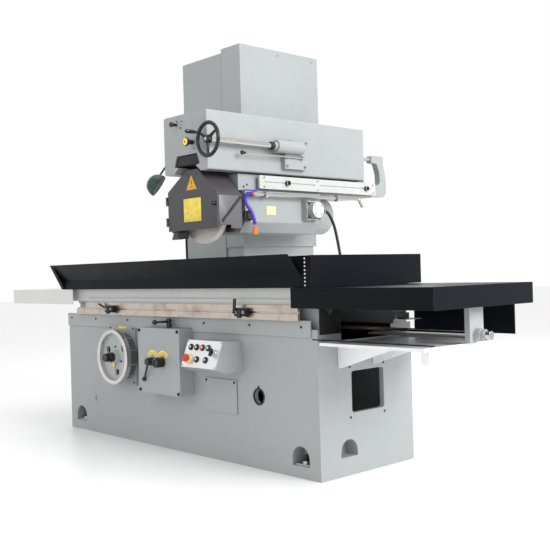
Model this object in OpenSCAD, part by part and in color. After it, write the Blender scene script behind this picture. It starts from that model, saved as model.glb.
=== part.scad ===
// Column-type surface grinder with a travelling table, a horizontal spindle and hydraulic feeds.
// Frame: +X along the table's travel, +Y from the operator to the column, +Z up, in millimetres.
// Origin: the centre of the bed's underside. Everything is drawn at the rest pose.

/* [Bed] */
// Length of the bed casting
bed_l = 2210; // [2190:5:2230]
// Depth of the bed casting, front to back
bed_w = 660; // [656:1:670]
// Height of the bed's shoulders
bed_h = 683; // [680:1:690]
// Thickness of the bed's walls
bed_t = 26; // [20:1:30]
// Height of the top of the slideways
way_z = 785; // [784:1:787]
// Width of the open channel between the slideways
channel_w = 350; // [320:5:360]
// Height of the floor of that channel
channel_z = 560; // [540:5:570]

/* [Table] */
// Length of the table casting
table_l = 2025; // [2000:5:2050]
// Width of the table casting
table_w = 664; // [650:1:666]
// Height of the underside of the table's plate
table_z = 800; // [798:1:804]
// Thickness of the table's plate
table_t = 73; // [60:1:80]
// Width of a T-slot's neck
slot_w = 18; // [14:1:22]
// Distance between neighbouring T-slots
slot_pitch = 125; // [100:5:150]
// Place of the table's middle along X at rest
table_x = -32; // [-40:1:-20]
// Radius of the piston rod
rod_r = 18; // [14:1:20]
// Height of the piston rod's axis
rod_z = 661; // [655:1:670]

/* [Column] */
// Left side of the column casting
col_x0 = -862; // [-880:2:-850]
// Side of the column casting that carries the guideways
col_x1 = -452; // [-460:1:-448]
// Front of the column casting
col_y0 = 438; // [436:1:445]
// Back of the column casting
col_y1 = 1078; // [1070:1:1085]
// Height of the column casting
col_h = 2357; // [2300:5:2360]

/* [Carriage] */
// Side of the carriage that faces the column
car_x0 = -243; // [-243:1:-240]
// Outer side of the carriage
car_x1 = 152; // [148:1:156]
// Front of the carriage
car_y0 = -171; // [-180:1:-165]
// Back of the carriage
car_y1 = 1100; // [1090:2:1110]
// Underside of the carriage
car_z0 = 1513; // [1513:1:1515]
// Top of the carriage
car_z1 = 1842; // [1830:2:1850]

/* [Wheelhead] */
// Radius of the grinding wheel
wheel_r = 195; // [175:5:195]
// Width of the grinding wheel
wheel_w = 34; // [30:1:50]
// Height of the spindle's axis
spin_z = 1314; // [1312:1:1316]
// Place of the spindle's axis along X
spin_x = -46; // [-48:1:-44]
// Depth of the wheel guard
guard_d = 172; // [165:1:180]

/* [Handwheels] */
// Radius of the elevating handwheel
elev_r = 158; // [130:2:170]
// Radius of the cross-feed handwheel
cross_r = 99; // [80:1:100]

/* [Hidden] */
$fn = 48;

GREY = [0.72, 0.76, 0.76];
DARK = [0.36, 0.35, 0.38];
BLACK = [0.06, 0.06, 0.07];
STEEL = [0.66, 0.66, 0.66];
NAVY = [0.12, 0.13, 0.17];

front_y = -bed_w / 2;
back_y = bed_w / 2;
end_x = bed_l / 2;
gap = 0.5;

// Slideways: both are way_w wide, the front one carries a V-groove
way_w = 100;
way_y = 250;
way_x0 = -1015;
vee_w = 80;
vee_d = 40;

// Foundation niches and their bolt holes
niche_w = 113;
niche_z0 = 55;
niche_top = 147;
niche_d = 75;
niche_x = 978;
niche_y = 297;
bolt_r = 11;

// Window in the right-hand end of the bed
win_y0 = -114;
win_y1 = 114;
win_z0 = 285;
win_z1 = 479;

// Elevating handwheel's axis
elev_x = -457;
elev_z = 486;
elev_shaft_r = 15;

// Operation box and its two controls
op_x0 = -188;
op_x1 = 190;
op_y = -423;
op_z0 = 312;
op_z1 = 664;
lever_x = -48;
knob_x = 38;
ctrl_z = 486;

// Control box: its side outline, in Y and Z, starts at the wall's top
box_x0 = 310;
box_x1 = 584;
panel_top = [-450, 619];
panel_foot = [-501, 487];
panel_a = atan2(panel_top[0] - panel_foot[0], panel_top[1] - panel_foot[1]);
panel_len = norm(panel_top - panel_foot);
panel_t = 3;
row_1 = 38;
row_2 = 99;
button_s = [42, 88, 134, 180, 112, 182];
button_t = [row_1, row_1, row_1, row_1, row_2, row_2];
button_r = 11;
select_s = 232;
select_t = 62;
stop_s = 45;

// Hydraulic cylinder and its rod
cyl_half = 640;
cyl_ro = 52;
cyl_ri = 40;
rod_x0 = -1490;
rod_x1 = 1790;
bracket_x = [-1430, 1705.5];
bracket_t = 26;

// Table and what travels with it
plate_top = table_z + table_t;
tab_x0 = table_x - table_l / 2;
tab_x1 = table_x + table_l / 2;
rail_y = -358;
rail_z0 = 722;
rail_z1 = 794;
rail_slot = 8;
skirt_x0 = -850;
guard_x0 = -1121;
guard_x1 = 1112;
guard_y0 = -365;
guard_y1 = 418;
guard_top = 1018;
rear_wall_z = 925;
crease_z = 928;
flare_y = -446;
sheet = 3;
cover_end = 1781;
cover_y0 = -376;
cover_y1 = 345;
cover_z0 = 781;
cover_z1 = 873;
dog_x = [-548, 636];

// Column base, guideways, elevating screw and covers
base_z = 420;
gw_x = -400;
gw_y = [540, 975];
gw_head = 100;
gw_neck = 70;
gw_z1 = 2100;
screw_x = -345;
screw_y = 757;
screw_r = 20;
fixed_x = -290;
fixed_z1 = 1268;
moving_x = -275;
upper_x = -264;

// Dovetail between the carriage and the wheelhead's slide
dove_x = -34;
slide_top = car_z0 - 8;
slide_z0 = 1413;
slide_y0 = 60;
slide_y1 = 1200;

// Rod of the cross-feed cylinder, on the wheelhead's arm
arm_x = 80;
arm_z = 1668;
arm_r = 10;

// Wheel guard outline, in X and Z, and the outline inside its sheet
guard_y = -135;
guard_z0 = 1197;
guard_pts = [
    [-270, guard_z0], [-270, 1417], [-84, 1530], [20, 1530], [184, 1382], [184, guard_z0]
];
guard_inside = [
    [-266, guard_z0 - 1], [-266, 1414.8], [-82.9, 1526], [18.5, 1526], [180, 1380.2],
    [180, guard_z0 - 1]
];
knuckle_y = guard_y - 7;
door_t = 5;
hinge_x = -276;
hinge_z = [1225, 1345];
wheel_y = -60;

// Spindle housing
head_x0 = -226;
head_x1 = 150;
head_y0 = 90;
head_y1 = 700;
head_z0 = 1174;
motor_y1 = 896;

// Cross-feed handwheel's axis
cross_x = 197;
cross_y = -201;
cross_z = 1668;

// Routes of the two held cables: the motor's cable and the column's conduit
cable_r = 9;
cable_route = [
    [213, 658.6, 1302], [213.5, 670, 1302], [217, 688, 1293], [221, 706, 1268], [224, 723, 1235],
    [226, 736, 1200], [230, 749, 1140], [234, 759, 1080], [238, 768, 1020], [238, 785, 950],
    [226, 815, 880], [196, 865, 810], [140, 930, 757], [55, 1010, 724], [-60, 1085, 712],
    [-190, 1130, 722], [-320, 1150, 762], [-425, 1154, 830], [-490, 1152, 915], [-518, 1150, 1000],
    [-528, 1150, 1090], [-530, 1150, 1160], [-530, 1150, 1216.5]
];
conduit_r = 8;
conduit_route = [
    [-877, 520, 1480], [-884, 520, 1480], [-897, 511, 1477], [-907, 492, 1464], [-913, 476, 1438],
    [-914, 468, 1400],
    [-910, 464, 1300], [-904, 462, 1200], [-900, 460, 1100], [-898, 460, 1000], [-898, 460, 900],
    [-896, 462, 800], [-892, 466, 700], [-886, 470, 600], [-880, 474, 520], [-878, 476, 460],
    [-878, 476, 432]
];

// A box given by its two corners
module block(x0, x1, y0, y1, z0, z1) {
    translate([x0, y0, z0]) cube([x1 - x0, y1 - y0, z1 - z0]);
}

// Round bars along X, Y and Z, each from one end to the other
module bar_x(x0, x1, y, z, r) {
    translate([x0, y, z]) rotate([0, 90, 0]) cylinder(h = x1 - x0, r = r);
}
module bar_y(x, y0, y1, z, r) {
    translate([x, y1, z]) rotate([90, 0, 0]) cylinder(h = y1 - y0, r = r);
}
module bar_z(x, y, z0, z1, r) {
    translate([x, y, z0]) cylinder(h = z1 - z0, r = r);
}

// An outline in X and Z, drawn out along Y from y0 to y1
module along_y(pts, y0, y1) {
    translate([0, y1, 0]) rotate([90, 0, 0]) linear_extrude(y1 - y0) polygon(pts);
}
// An outline in Y and Z, drawn out along X from x0 to x1
module along_x(pts, x0, x1) {
    translate([x0, 0, 0]) rotate([90, 0, 90]) linear_extrude(x1 - x0) polygon(pts);
}

// Points of an arc about [cx, cz], from angle a0 to a1
function arc(cx, cz, r, a0, a1, n = 6) =
    [for (i = [0:n]) [cx + r * cos(a0 + (a1 - a0) * i / n), cz + r * sin(a0 + (a1 - a0) * i / n)]];
// A rectangle with four rounded corners
function round_rect(x0, x1, z0, z1, r) = concat(
    arc(x1 - r, z1 - r, r, 0, 90), arc(x0 + r, z1 - r, r, 90, 180),
    arc(x0 + r, z0 + r, r, 180, 270), arc(x1 - r, z0 + r, r, 270, 360));
// The arched outline of a foundation niche about u = 0
function arch(w, z0, z1) = concat([[-w / 2, z0], [w / 2, z0]], arc(0, z1 - w / 2, w / 2, 0, 180, 10));

// A round tube swept along a route, with n sides
function unit(v) = v / norm(v);
function heading(p, i) = unit(p[min(i + 1, len(p) - 1)] - p[max(i - 1, 0)]);
function across(d) = unit(cross(d, abs(d[2]) < 0.85 ? [0, 0, 1] : [0.6, 0.8, 0]));
function carried(p, i) = i == 0
    ? across(heading(p, 0))
    : let(d = heading(p, i), u = carried(p, i - 1)) unit(u - (u * d) * d);
module tube(p, r, n = 10) {
    rings = [
        for (i = [0:len(p) - 1])
            let(d = heading(p, i), u = carried(p, i), v = cross(d, u))
                for (k = [0:n - 1]) p[i] + r * (cos(360 * k / n) * u + sin(360 * k / n) * v)
    ];
    m = len(p);
    sides = [
        for (i = [0:m - 2], k = [0:n - 1])
            [i * n + k, i * n + (k + 1) % n, (i + 1) * n + (k + 1) % n, (i + 1) * n + k]
    ];
    polyhedron(rings, concat([[for (k = [0:n - 1]) n - 1 - k]], sides,
        [[for (k = [0:n - 1]) (m - 1) * n + k]]), convexity = 6);
}

// ---- Bed ----

module niches(d, extra) {
    for (s = [-1, 1], x = [-niche_x, niche_x])
        translate([x, s * (back_y - d / 2 + extra / 2), 0])
            rotate([90, 0, 0])
                linear_extrude(d + extra, center = true)
                    polygon(arch(niche_w, niche_z0, niche_top));
    for (s = [-1, 1])
        translate([s * (end_x - d / 2 + extra / 2), -140, 0])
            rotate([90, 0, 90])
                linear_extrude(d + extra, center = true)
                    polygon(arch(niche_w, niche_z0 + 31, niche_top + 20));
}

module niche_blocks() {
    for (s = [-1, 1], x = [-niche_x, niche_x])
        block(x - 80, x + 80, s < 0 ? front_y + 5 : back_y - niche_d - 20,
            s < 0 ? front_y + niche_d + 20 : back_y - 5, 5, niche_top + 30);
    for (s = [-1, 1])
        block(s < 0 ? -end_x + 5 : end_x - niche_d - 20, s < 0 ? -end_x + niche_d + 20 : end_x - 5,
            -220, -60, 5, niche_top + 50);
}

module bed_casting() {
    color(GREY) difference() {
        union() {
            difference() {
                block(-end_x, end_x, front_y, back_y, 0, bed_h);
                block(-end_x + bed_t, end_x - bed_t, front_y + bed_t, back_y - bed_t,
                    bed_t, channel_z - bed_t);
            }
            niche_blocks();
            // Slideways on the shoulders
            for (s = [-1, 1])
                block(way_x0, end_x, s * way_y - way_w / 2, s * way_y + way_w / 2, bed_h - 1, way_z);
        }
        block(-end_x - 1, end_x + 1, -channel_w / 2, channel_w / 2, channel_z, bed_h + 1);
        along_x([[-way_y - vee_w / 2, way_z + 0.01], [-way_y, way_z - vee_d],
            [-way_y + vee_w / 2, way_z + 0.01]], -end_x - 1, end_x + 1);
        niches(niche_d, 2);
        for (x = [-niche_x, niche_x], y = [-niche_y, niche_y])
            bar_z(x, y, -1, niche_z0 + 1, bolt_r);
        along_x(round_rect(win_y0, win_y1, win_z0, win_z1, 14), end_x - bed_t - 1, end_x + 1);
        // Cable hole in the front and the two holes for the elevating shaft
        bar_y(699, front_y - 1, front_y + bed_t + 1, 350, 36);
        bar_y(elev_x, front_y - 1, front_y + bed_t + 1, elev_z, elev_shaft_r + 4);
        bar_y(elev_x, back_y - bed_t - 1, back_y + 1, elev_z, elev_shaft_r + 4);
    }
}

module bed_covers() {
    color(GREY) {
        // Apron strips along the front and the back
        difference() {
            block(-end_x, end_x - 36, front_y - 8, front_y, 647, 724);
            block(op_x0 - 1, op_x1 + 1, front_y - 9, front_y + 1, 646, op_z1 + 1);
        }
        block(-end_x, end_x - 36, back_y, back_y + 5, 647, 724);
        // Drip lip at the end of the rear slideway
        block(end_x, end_x + 16, 196, 304, 700, 730);
        block(end_x + 16, end_x + 90, 206, 304, 700, 704);
        // Handwheel plate with its bush
        difference() {
            union() {
                block(-612, -345, front_y - 12, front_y, 323, 660);
                bar_y(elev_x, front_y - 11, front_y + bed_t + 20, elev_z, elev_shaft_r + 3.98);
            }
            bar_y(elev_x, front_y - 13, front_y + bed_t + 21, elev_z, elev_shaft_r + 0.05);
        }
        // Access cover with bevelled edges
        along_y(round_rect(285, 538, 245, 417, 6), front_y - 6, front_y);
        // Oil plug
        bar_y(-819, front_y - 6, front_y, 210, 19);
        translate([-819, front_y - 6, 210]) rotate([90, 0, 0]) cylinder(h = 8, r = 9, $fn = 6);
        // Blank cover over the left-hand end
        along_x(round_rect(win_y0 - 30, win_y1 + 30, win_z0 - 30, win_z1 + 30, 8),
            -end_x - 5, -end_x);
    }
}

// Cap screws on the front of the bed, each a head with a hexagon socket
module screw_y(x, y, z, r, h) {
    difference() {
        bar_y(x, y - h, y, z, r);
        translate([x, y - h + h * 0.6, z]) rotate([90, 0, 0]) cylinder(h = h, r = r * 0.5, $fn = 6);
    }
}
module screw_x(x, y, z, r, h, side = 1) {
    difference() {
        bar_x(side > 0 ? x : x - h, side > 0 ? x + h : x, y, z, r);
        translate([side > 0 ? x + h * 0.4 : x - h * 1.4, y, z]) rotate([0, 90, 0])
            cylinder(h = h, r = r * 0.5, $fn = 6);
    }
}
module cover_screws() {
    color(BLACK) {
        for (x = [-1055, -768, -418, -67, 295, 653, 1011]) screw_y(x, front_y - 8, 694, 5, 3);
        for (x = [-598, -360], z = [337, 646]) screw_y(x, front_y - 12, z, 5, 3);
        for (x = [op_x0 + 14, op_x1 - 14], z = [op_z0 + 14, op_z1 - 14]) screw_y(x, op_y, z, 7, 5);
        for (x = [300, 523]) screw_y(x, front_y - 6, 404, 5, 3);
        screw_y(699, front_y, 396, 5, 3);
        for (y = [win_y0 - 11, win_y1 + 1], z = [win_z0 - 20, win_z1 + 20])
            screw_x(end_x, y, z, 4, 2);
        for (y = [win_y0 - 20, win_y1 + 20], z = [win_z0 - 20, win_z1 + 20])
            screw_x(-end_x - 5, y, z, 5, 3, -1);
    }
}

module levelling_wedges() {
    color(STEEL) for (x = [-niche_x, niche_x], s = [-1, 1]) {
        difference() {
            union() {
                block(x - 45, x + 45, s * niche_y - 22, s * niche_y + 22, niche_z0, niche_z0 + 8);
                bar_z(x, s * niche_y, niche_z0 + 8, niche_z0 + 22, 17);
            }
            bar_z(x, s * niche_y, niche_z0 - 1, niche_z0 + 30, bolt_r);
        }
    }
}

// ---- Controls on the front of the bed ----

module operation_box() {
    color(GREY) {
        difference() {
            along_x([[front_y, op_z0], [op_y, op_z0], [op_y, op_z1], [front_y, op_z1]], op_x0, op_x1);
            block(op_x0 + 8, op_x1 - 8, op_y + 8, front_y + 1, op_z0 + 8, op_z1 - 8);
            for (x = [lever_x, knob_x]) bar_y(x, op_y - 1, op_y + 9, ctrl_z, 10.05);
        }
    }
}

module speed_lever() {
    color(BLACK) {
        bar_y(lever_x, op_y - 0.5, op_y + 20, ctrl_z, 10);
        bar_y(lever_x, op_y - 46, op_y - 0.5, ctrl_z, 22);
        translate([lever_x, op_y - 32, ctrl_z]) rotate([14, 218, 0]) {
            cylinder(h = 126, r = 5);
            translate([0, 0, 132]) sphere(r = 12);
        }
    }
}

module feed_knob() {
    color(BLACK) {
        bar_y(knob_x, op_y - 0.5, op_y + 20, ctrl_z, 10);
        difference() {
            bar_y(knob_x, op_y - 52, op_y - 0.5, ctrl_z, 27);
            bar_y(knob_x, op_y - 53, op_y - 46, ctrl_z, 15);
            for (a = [0:30:330]) translate([knob_x, 0, ctrl_z]) rotate([0, a, 0])
                bar_y(29, op_y - 53, op_y - 12, 0, 4);
        }
    }
}

rev_x = 20;
rev_y = -362;
rev_z = 700;
module reversing_lever() {
    color(BLACK) {
        bar_z(rev_x, rev_y, op_z1 + 1, rev_z + 14, 15);
        bar_y(rev_x, rev_y - 82, rev_y - 10, rev_z - 2, 6);
        translate([rev_x, rev_y - 92, rev_z - 2]) sphere(r = 14);
    }
}

module control_box() {
    color(GREY) difference() {
        along_x([[front_y, 461], [-446, 462], panel_foot, panel_top, [front_y, 612]], box_x0, box_x1);
        along_x([[front_y + 1, 467], [-444, 468], [-492, 490], [-444, 613], [front_y + 1, 606]],
            box_x0 + 4, box_x1 - 4);
        on_panel() for (i = [0:5]) translate([button_s[i], -button_t[i], -20])
            cylinder(h = 30, r = button_r + 1);
        on_panel() translate([select_s, -select_t, -20]) cylinder(h = 30, r = 9);
        on_panel() translate([stop_s, -row_2, -20]) cylinder(h = 30, r = 9);
    }
}

// The panel's own frame: x along the panel, y up its slope, z out of its face
module on_panel() {
    translate([box_x0, panel_top[0], panel_top[1]]) rotate([90 - panel_a, 0, 0]) children();
}
module panel_plate() {
    color([0.86, 0.87, 0.88]) on_panel() difference() {
        union() {
            translate([1, -panel_len + 1, 0])
                cube([box_x1 - box_x0 - 2, panel_len - 2, panel_t]);
            for (i = [0:5]) translate([button_s[i], -button_t[i], panel_t])
                cylinder(h = 5, r = button_r + 4);
            translate([stop_s, -row_2, panel_t]) cylinder(h = 4, r = 24);
            translate([select_s, -select_t, panel_t]) cylinder(h = 5, r = 16);
        }
        for (i = [0:5]) translate([button_s[i], -button_t[i], -1])
            cylinder(h = 30, r = button_r + 0.4);
        translate([select_s, -select_t, -1]) cylinder(h = 30, r = 8.05);
        translate([stop_s, -row_2, -1]) cylinder(h = 30, r = 8.4);
    }
}
module button(i) {
    on_panel() translate([button_s[i], -button_t[i], -14]) {
        cylinder(h = 14 + panel_t + 9, r = button_r);
    }
}
module button_1() { color(BLACK) button(0); }
module button_2() { color(BLACK) button(1); }
module button_3() { color([0.75, 0.1, 0.1]) button(2); }
module button_4() { color([0.1, 0.5, 0.25]) button(3); }
module button_5() { color(BLACK) button(4); }
module button_6() { color(BLACK) button(5); }
module emergency_stop() {
    color([0.85, 0.1, 0.08]) on_panel() translate([stop_s, -row_2, -14]) {
        cylinder(h = 34, r = 8);
        translate([0, 0, 30]) cylinder(h = 8, r1 = 16, r2 = 20);
        translate([0, 0, 38]) cylinder(h = 5, r1 = 20, r2 = 15);
    }
}
module selector_switch() {
    color(BLACK) on_panel() translate([select_s, -select_t, -14]) {
        cylinder(h = 24, r = 8);
        translate([0, 0, 22.5]) cylinder(h = 9, r = 15);
        translate([-5, -22, 31]) cube([10, 44, 15]);
    }
}

// ---- Elevating handwheel ----

module elevating_handwheel() {
    color(STEEL) {
        difference() {
            // Rim, dished disc and hub, turned as one
            translate([elev_x, 0, elev_z]) rotate([90, 0, 0]) rotate_extrude($fn = 96)
                polygon([[15, 384], [elev_r - 24, 384], [elev_r - 22, 392], [elev_r, 398],
                    [elev_r, 426], [elev_r - 5, 431], [elev_r - 20, 431], [elev_r - 25, 426],
                    [elev_r - 26, 400], [40, 396], [34, 420], [15, 420]]);
            for (a = [35, 155, 275]) translate([elev_x, 0, elev_z]) rotate([0, -a, 0])
                bar_y(88, -402, -380, 0, 20);
        }
    }
}
module elevating_shaft() {
    color(STEEL) {
        bar_y(elev_x, -420, 420, elev_z, elev_shaft_r);
        // Graduated dial behind the handwheel
        difference() {
            bar_y(elev_x, -380, front_y - 13, elev_z, 133);
            bar_y(elev_x, -381, front_y - 12, elev_z, elev_shaft_r);
            bar_y(elev_x, -381, -362, elev_z, 118);
        }
    }
}
module clutch_knob() {
    color(BLACK) {
        bar_y(elev_x, -452, -420.5, elev_z, 27);
        bar_y(elev_x, -478, -452, elev_z, 22);
    }
}

// ---- Right-hand end: drip tray, and the cylinder in the channel ----

module drip_tray() {
    color([0.82, 0.82, 0.84]) {
        difference() {
            block(end_x, 1690, -322, 193, 612, 626);
            block(end_x + 4, 1686, -318, 189, 620, 627);
        }
        // Support angles and a square drain tube
        for (y = [-200, 40]) along_y([[end_x, 610], [end_x, 500], [end_x + 12, 500], [1420, 598],
            [1420, 610]], y, y + 8);
        block(end_x, 1440, -200, 48, 604, 612);
        difference() {
            block(1505, 1550, -110, -60, 532, 612);
            block(1509, 1546, -106, -64, 531, 613);
        }
    }
}

module hydraulic_cylinder() {
    color(STEEL) {
        difference() {
            bar_x(-cyl_half, cyl_half, 0, rod_z, cyl_ro);
            bar_x(-cyl_half + 30, cyl_half - 30, 0, rod_z, cyl_ri);
            bar_x(-cyl_half - 1, cyl_half + 1, 0, rod_z, rod_r + 0.05);
        }
        // Flanged glands at both ends and the cradles under the tube
        for (s = [-1, 1]) {
            difference() {
                bar_x(s > 0 ? cyl_half : -cyl_half - 34, s > 0 ? cyl_half + 34 : -cyl_half,
                    0, rod_z, 44);
                bar_x(-cyl_half - 40, cyl_half + 40, 0, rod_z, rod_r + 0.05);
            }
            difference() {
                block(s * 450 - 40, s * 450 + 40, -80, 80, channel_z, rod_z - 5);
                bar_x(-cyl_half, cyl_half, 0, rod_z, cyl_ro);
            }
        }
    }
}

// ---- Table and everything that travels with it ----

module table_casting() {
    color(GREY) difference() {
        union() {
            block(tab_x0, tab_x1, -table_w / 2, table_w / 2, table_z, plate_top);
            for (s = [-1, 1])
                block(skirt_x0, tab_x1, s < 0 ? -342 : 322, s < 0 ? -322 : 342, 730, table_z + 20);
            block(tab_x0, tab_x1, way_y - way_w / 2 + 5, way_y + way_w / 2 - 5, way_z + gap, table_z);
            along_x([[-way_y - 45, way_z + gap], [-way_y - vee_w / 2 + gap, way_z + gap],
                [-way_y, way_z - vee_d + 2 * gap], [-way_y + vee_w / 2 - gap, way_z + gap],
                [-way_y + 45, way_z + gap], [-way_y + 45, table_z], [-way_y - 45, table_z]],
                tab_x0, tab_x1);
        }
        // Three T-slots and a coolant gutter on each side
        for (k = [-1:1]) {
            block(tab_x0 - 1, tab_x1 + 1, k * slot_pitch - slot_w / 2, k * slot_pitch + slot_w / 2,
                plate_top - 34, plate_top + 1);
            block(tab_x0 - 1, tab_x1 + 1, k * slot_pitch - 15, k * slot_pitch + 15,
                plate_top - 34, plate_top - 20);
        }
        for (s = [-1, 1])
            block(tab_x0 + 20, tab_x1 - 20, s * 285 - 22, s * 285 + 22, plate_top - 18, plate_top + 1);
    }
}

module dog_rail() {
    color(STEEL) difference() {
        block(-960, 1010, rail_y, -342, rail_z0, rail_z1);
        block(-961, 1011, rail_y - 1, rail_y + 9, 754, 754 + rail_slot);
        block(-961, 1011, rail_y + 5, rail_y + 9, 748, 768);
        // The upper flange stops short at the left
        block(-961, skirt_x0, rail_y - 1, -341, 754 + rail_slot, rail_z1 + 1);
    }
}

module splash_guard() {
    color(NAVY) {
        // Four upright walls on a narrow floor
        difference() {
            block(guard_x0, guard_x1, guard_y0, guard_y1, plate_top + 1, guard_top);
            block(guard_x0 + sheet, guard_x1 - sheet, guard_y0 + sheet, guard_y1 - sheet,
                plate_top + 1 + sheet, guard_top + 1);
            // The table's face stands in the floor, and the rear wall is low
            block(tab_x0 - 8, tab_x1 + 5, -322, 322, plate_top, plate_top + 10);
            block(guard_x0 + 60, guard_x1 - 60, guard_y1 - sheet - 1, guard_y1 + 1,
                rear_wall_z, guard_top + 1);
        }
        // Flared panel riveted to the front wall
        along_x([[guard_y0, crease_z], [guard_y0, crease_z - 46], [guard_y0 - sheet, crease_z - 46],
            [guard_y0 - sheet, crease_z], [flare_y, guard_top + 4], [flare_y + sheet, guard_top + 6]],
            guard_x0, 1046);
        // Slanted flange at the left end of the flared panel
        along_x([[guard_y0 + 1, plate_top + 1], [guard_y0 - sheet, plate_top + 1], [flare_y, guard_top + 4],
            [flare_y + sheet, guard_top + 6], [guard_y0 + 1, crease_z]], guard_x0, guard_x0 + 36);
    }
}

module end_cover(x0, x1) {
    difference() {
        block(x0, x1, cover_y0, cover_y1, cover_z0, cover_z1);
        block(x0 - (x0 > 0 ? 1 : -sheet), x1 + (x0 > 0 ? -sheet : 1), cover_y0 + sheet,
            cover_y1 - sheet, cover_z0 - 1, cover_z1 - sheet);
    }
}
module right_end_cover() {
    color(NAVY) {
        end_cover(tab_x1 + 5, cover_end);
        // Curtain hanging under the cover's rear edge
        block(1125, 1690, cover_y1 - 8, cover_y1 - sheet + 1, 640, cover_z1 - 20);
    }
}
module left_end_cover() {
    color(GREY) {
        end_cover(-cover_end, tab_x0 - 5);
        // Flange that laps over the front of the table
        block(tab_x0 - 6, -972, cover_y0, cover_y0 + sheet, cover_z0, cover_z1);
    }
}

module rod_brackets() {
    color(GREY) for (k = [0, 1]) {
        s = k == 0 ? -1 : 1;
        x = bracket_x[k];
        face = x + s * bracket_t / 2;
        // Beam carried by the end of the table
        block(s > 0 ? tab_x1 : face, s > 0 ? face : tab_x0, -48, 48, table_z, table_z + 36);
        difference() {
            block(x - bracket_t / 2, x + bracket_t / 2, -50, 50, 632, table_z);
            bar_x(x - 50, x + 50, 0, rod_z, rod_r + 0.02);
        }
        // Washer and nut on the rod's end
        difference() {
            union() {
                bar_x(min(face, x + s * 40), max(face, x + s * 40), 0, rod_z, 28);
                translate([s > 0 ? x + 40 : x - 60, 0, rod_z]) rotate([0, 90, 0])
                    cylinder(h = 20, r = 25, $fn = 6);
            }
            bar_x(x - 80, x + 80, 0, rod_z, rod_r + 0.02);
        }
    }
}

module piston_rod() {
    color(STEEL) {
        bar_x(rod_x0, rod_x1, 0, rod_z, rod_r);
        difference() {
            bar_x(-30, 30, 0, rod_z, cyl_ri - 0.06);
            bar_x(-31, 31, 0, rod_z, rod_r);
        }
    }
}

module trip_dog(x) {
    block(x - 42, x + 42, rail_y - 26, rail_y - 0.5, 738, 778);
    block(x - 30, x + 30, rail_y - 0.5, rail_y + 4.5, 755, 761);
    block(x - 14, x + 14, rail_y - 34, rail_y - 26, 730, 770);
}
module trip_dog_left() {
    color(BLACK) {
        trip_dog(dog_x[0]);
        translate([dog_x[0] - 40, rail_y - 20, 762]) rotate([0, -72, 0]) cylinder(h = 74, r = 6);
    }
}
module trip_dog_right() {
    color(BLACK) {
        trip_dog(dog_x[1]);
        translate([dog_x[1] - 36, rail_y - 32, 752]) rotate([0, 7, 0]) cylinder(h = 72, r = 8);
    }
}

// ---- Column ----

module column_base() {
    color(GREY) {
        difference() {
            union() {
                difference() {
                    block(col_x0 - 30, -180, back_y, col_y1 + 22, 0, base_z);
                    block(col_x0 - 6, -204, back_y + 24, col_y1 - 2, 24, base_z - 24);
                }
                // Bevel gearbox of the elevating drive and the screw's thrust bearing
                block(elev_x - 55, elev_x + 55, 350, 432, base_z - 1, elev_z + 50);
                bar_z(screw_x, screw_y, base_z - 1, base_z + 18, 50);
                // Gland of the conduit
                bar_z(-878, 476, base_z - 1, base_z + 12, 15);
            }
            bar_y(elev_x, 349, 425, elev_z, elev_shaft_r + 0.05);
            bar_z(screw_x, screw_y, base_z + 4, base_z + 20, screw_r + 0.05);
        }
    }
}

module column_casting() {
    color(GREY) {
        difference() {
            block(col_x0, col_x1, col_y0, col_y1, base_z, col_h);
            block(col_x0 + 22, col_x1 - 22, col_y0 + 22, col_y1 - 22, base_z + 22, col_h - 22);
        }
        // Gland of the conduit on the column's side
        bar_x(col_x0 - 14, col_x0, 520, 1480, 15);
        // Two guideways of T section
        for (y = gw_y) {
            block(col_x1, gw_x - 22, y - gw_neck / 2, y + gw_neck / 2, base_z, gw_z1);
            block(gw_x - 22, gw_x, y - gw_head / 2, y + gw_head / 2, base_z, gw_z1);
        }
    }
}

module shroud(x1, y0, y1, z0, z1) {
    difference() {
        block(col_x1 + 4, x1, y0, y1, z0, z1);
        block(col_x1 + 3, x1 - sheet, y0 + sheet, y1 - sheet, z0 - 1, z1 + 1);
    }
}
module way_cover_fixed() {
    color(GREY) shroud(fixed_x, col_y0 + 10, col_y1 - 10, base_z, fixed_z1);
}
module way_covers_moving() {
    color(GREY) {
        shroud(moving_x, col_y0 + 2, col_y1 + 4, 1112, car_z0 - 1);
        shroud(upper_x, col_y0 - 2, col_y1 + 45, car_z1 - 60, 2380);
        block(col_x1 + 4, upper_x, col_y0 - 2, col_y1 + 45, 2377, 2380);
        // Junction box for the motor's cable, on a bracket at the back of the lower cover
        block(-560, -277, col_y1 + 3, col_y1 + 16, 1262, 1308);
        block(-570, -490, col_y1 + 15, col_y1 + 130, 1240, 1330);
        bar_z(-530, 1150, 1218, 1240, 14);
    }
}

module elevating_screw() {
    color(STEEL) {
        bar_z(screw_x, screw_y, base_z + 5, 2085, screw_r);
        bar_z(screw_x, screw_y, base_z + 19, base_z + 45, 42);
    }
}

module column_conduit() {
    color(BLACK) tube(conduit_route, conduit_r, 10);
}

// ---- Carriage ----

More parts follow.
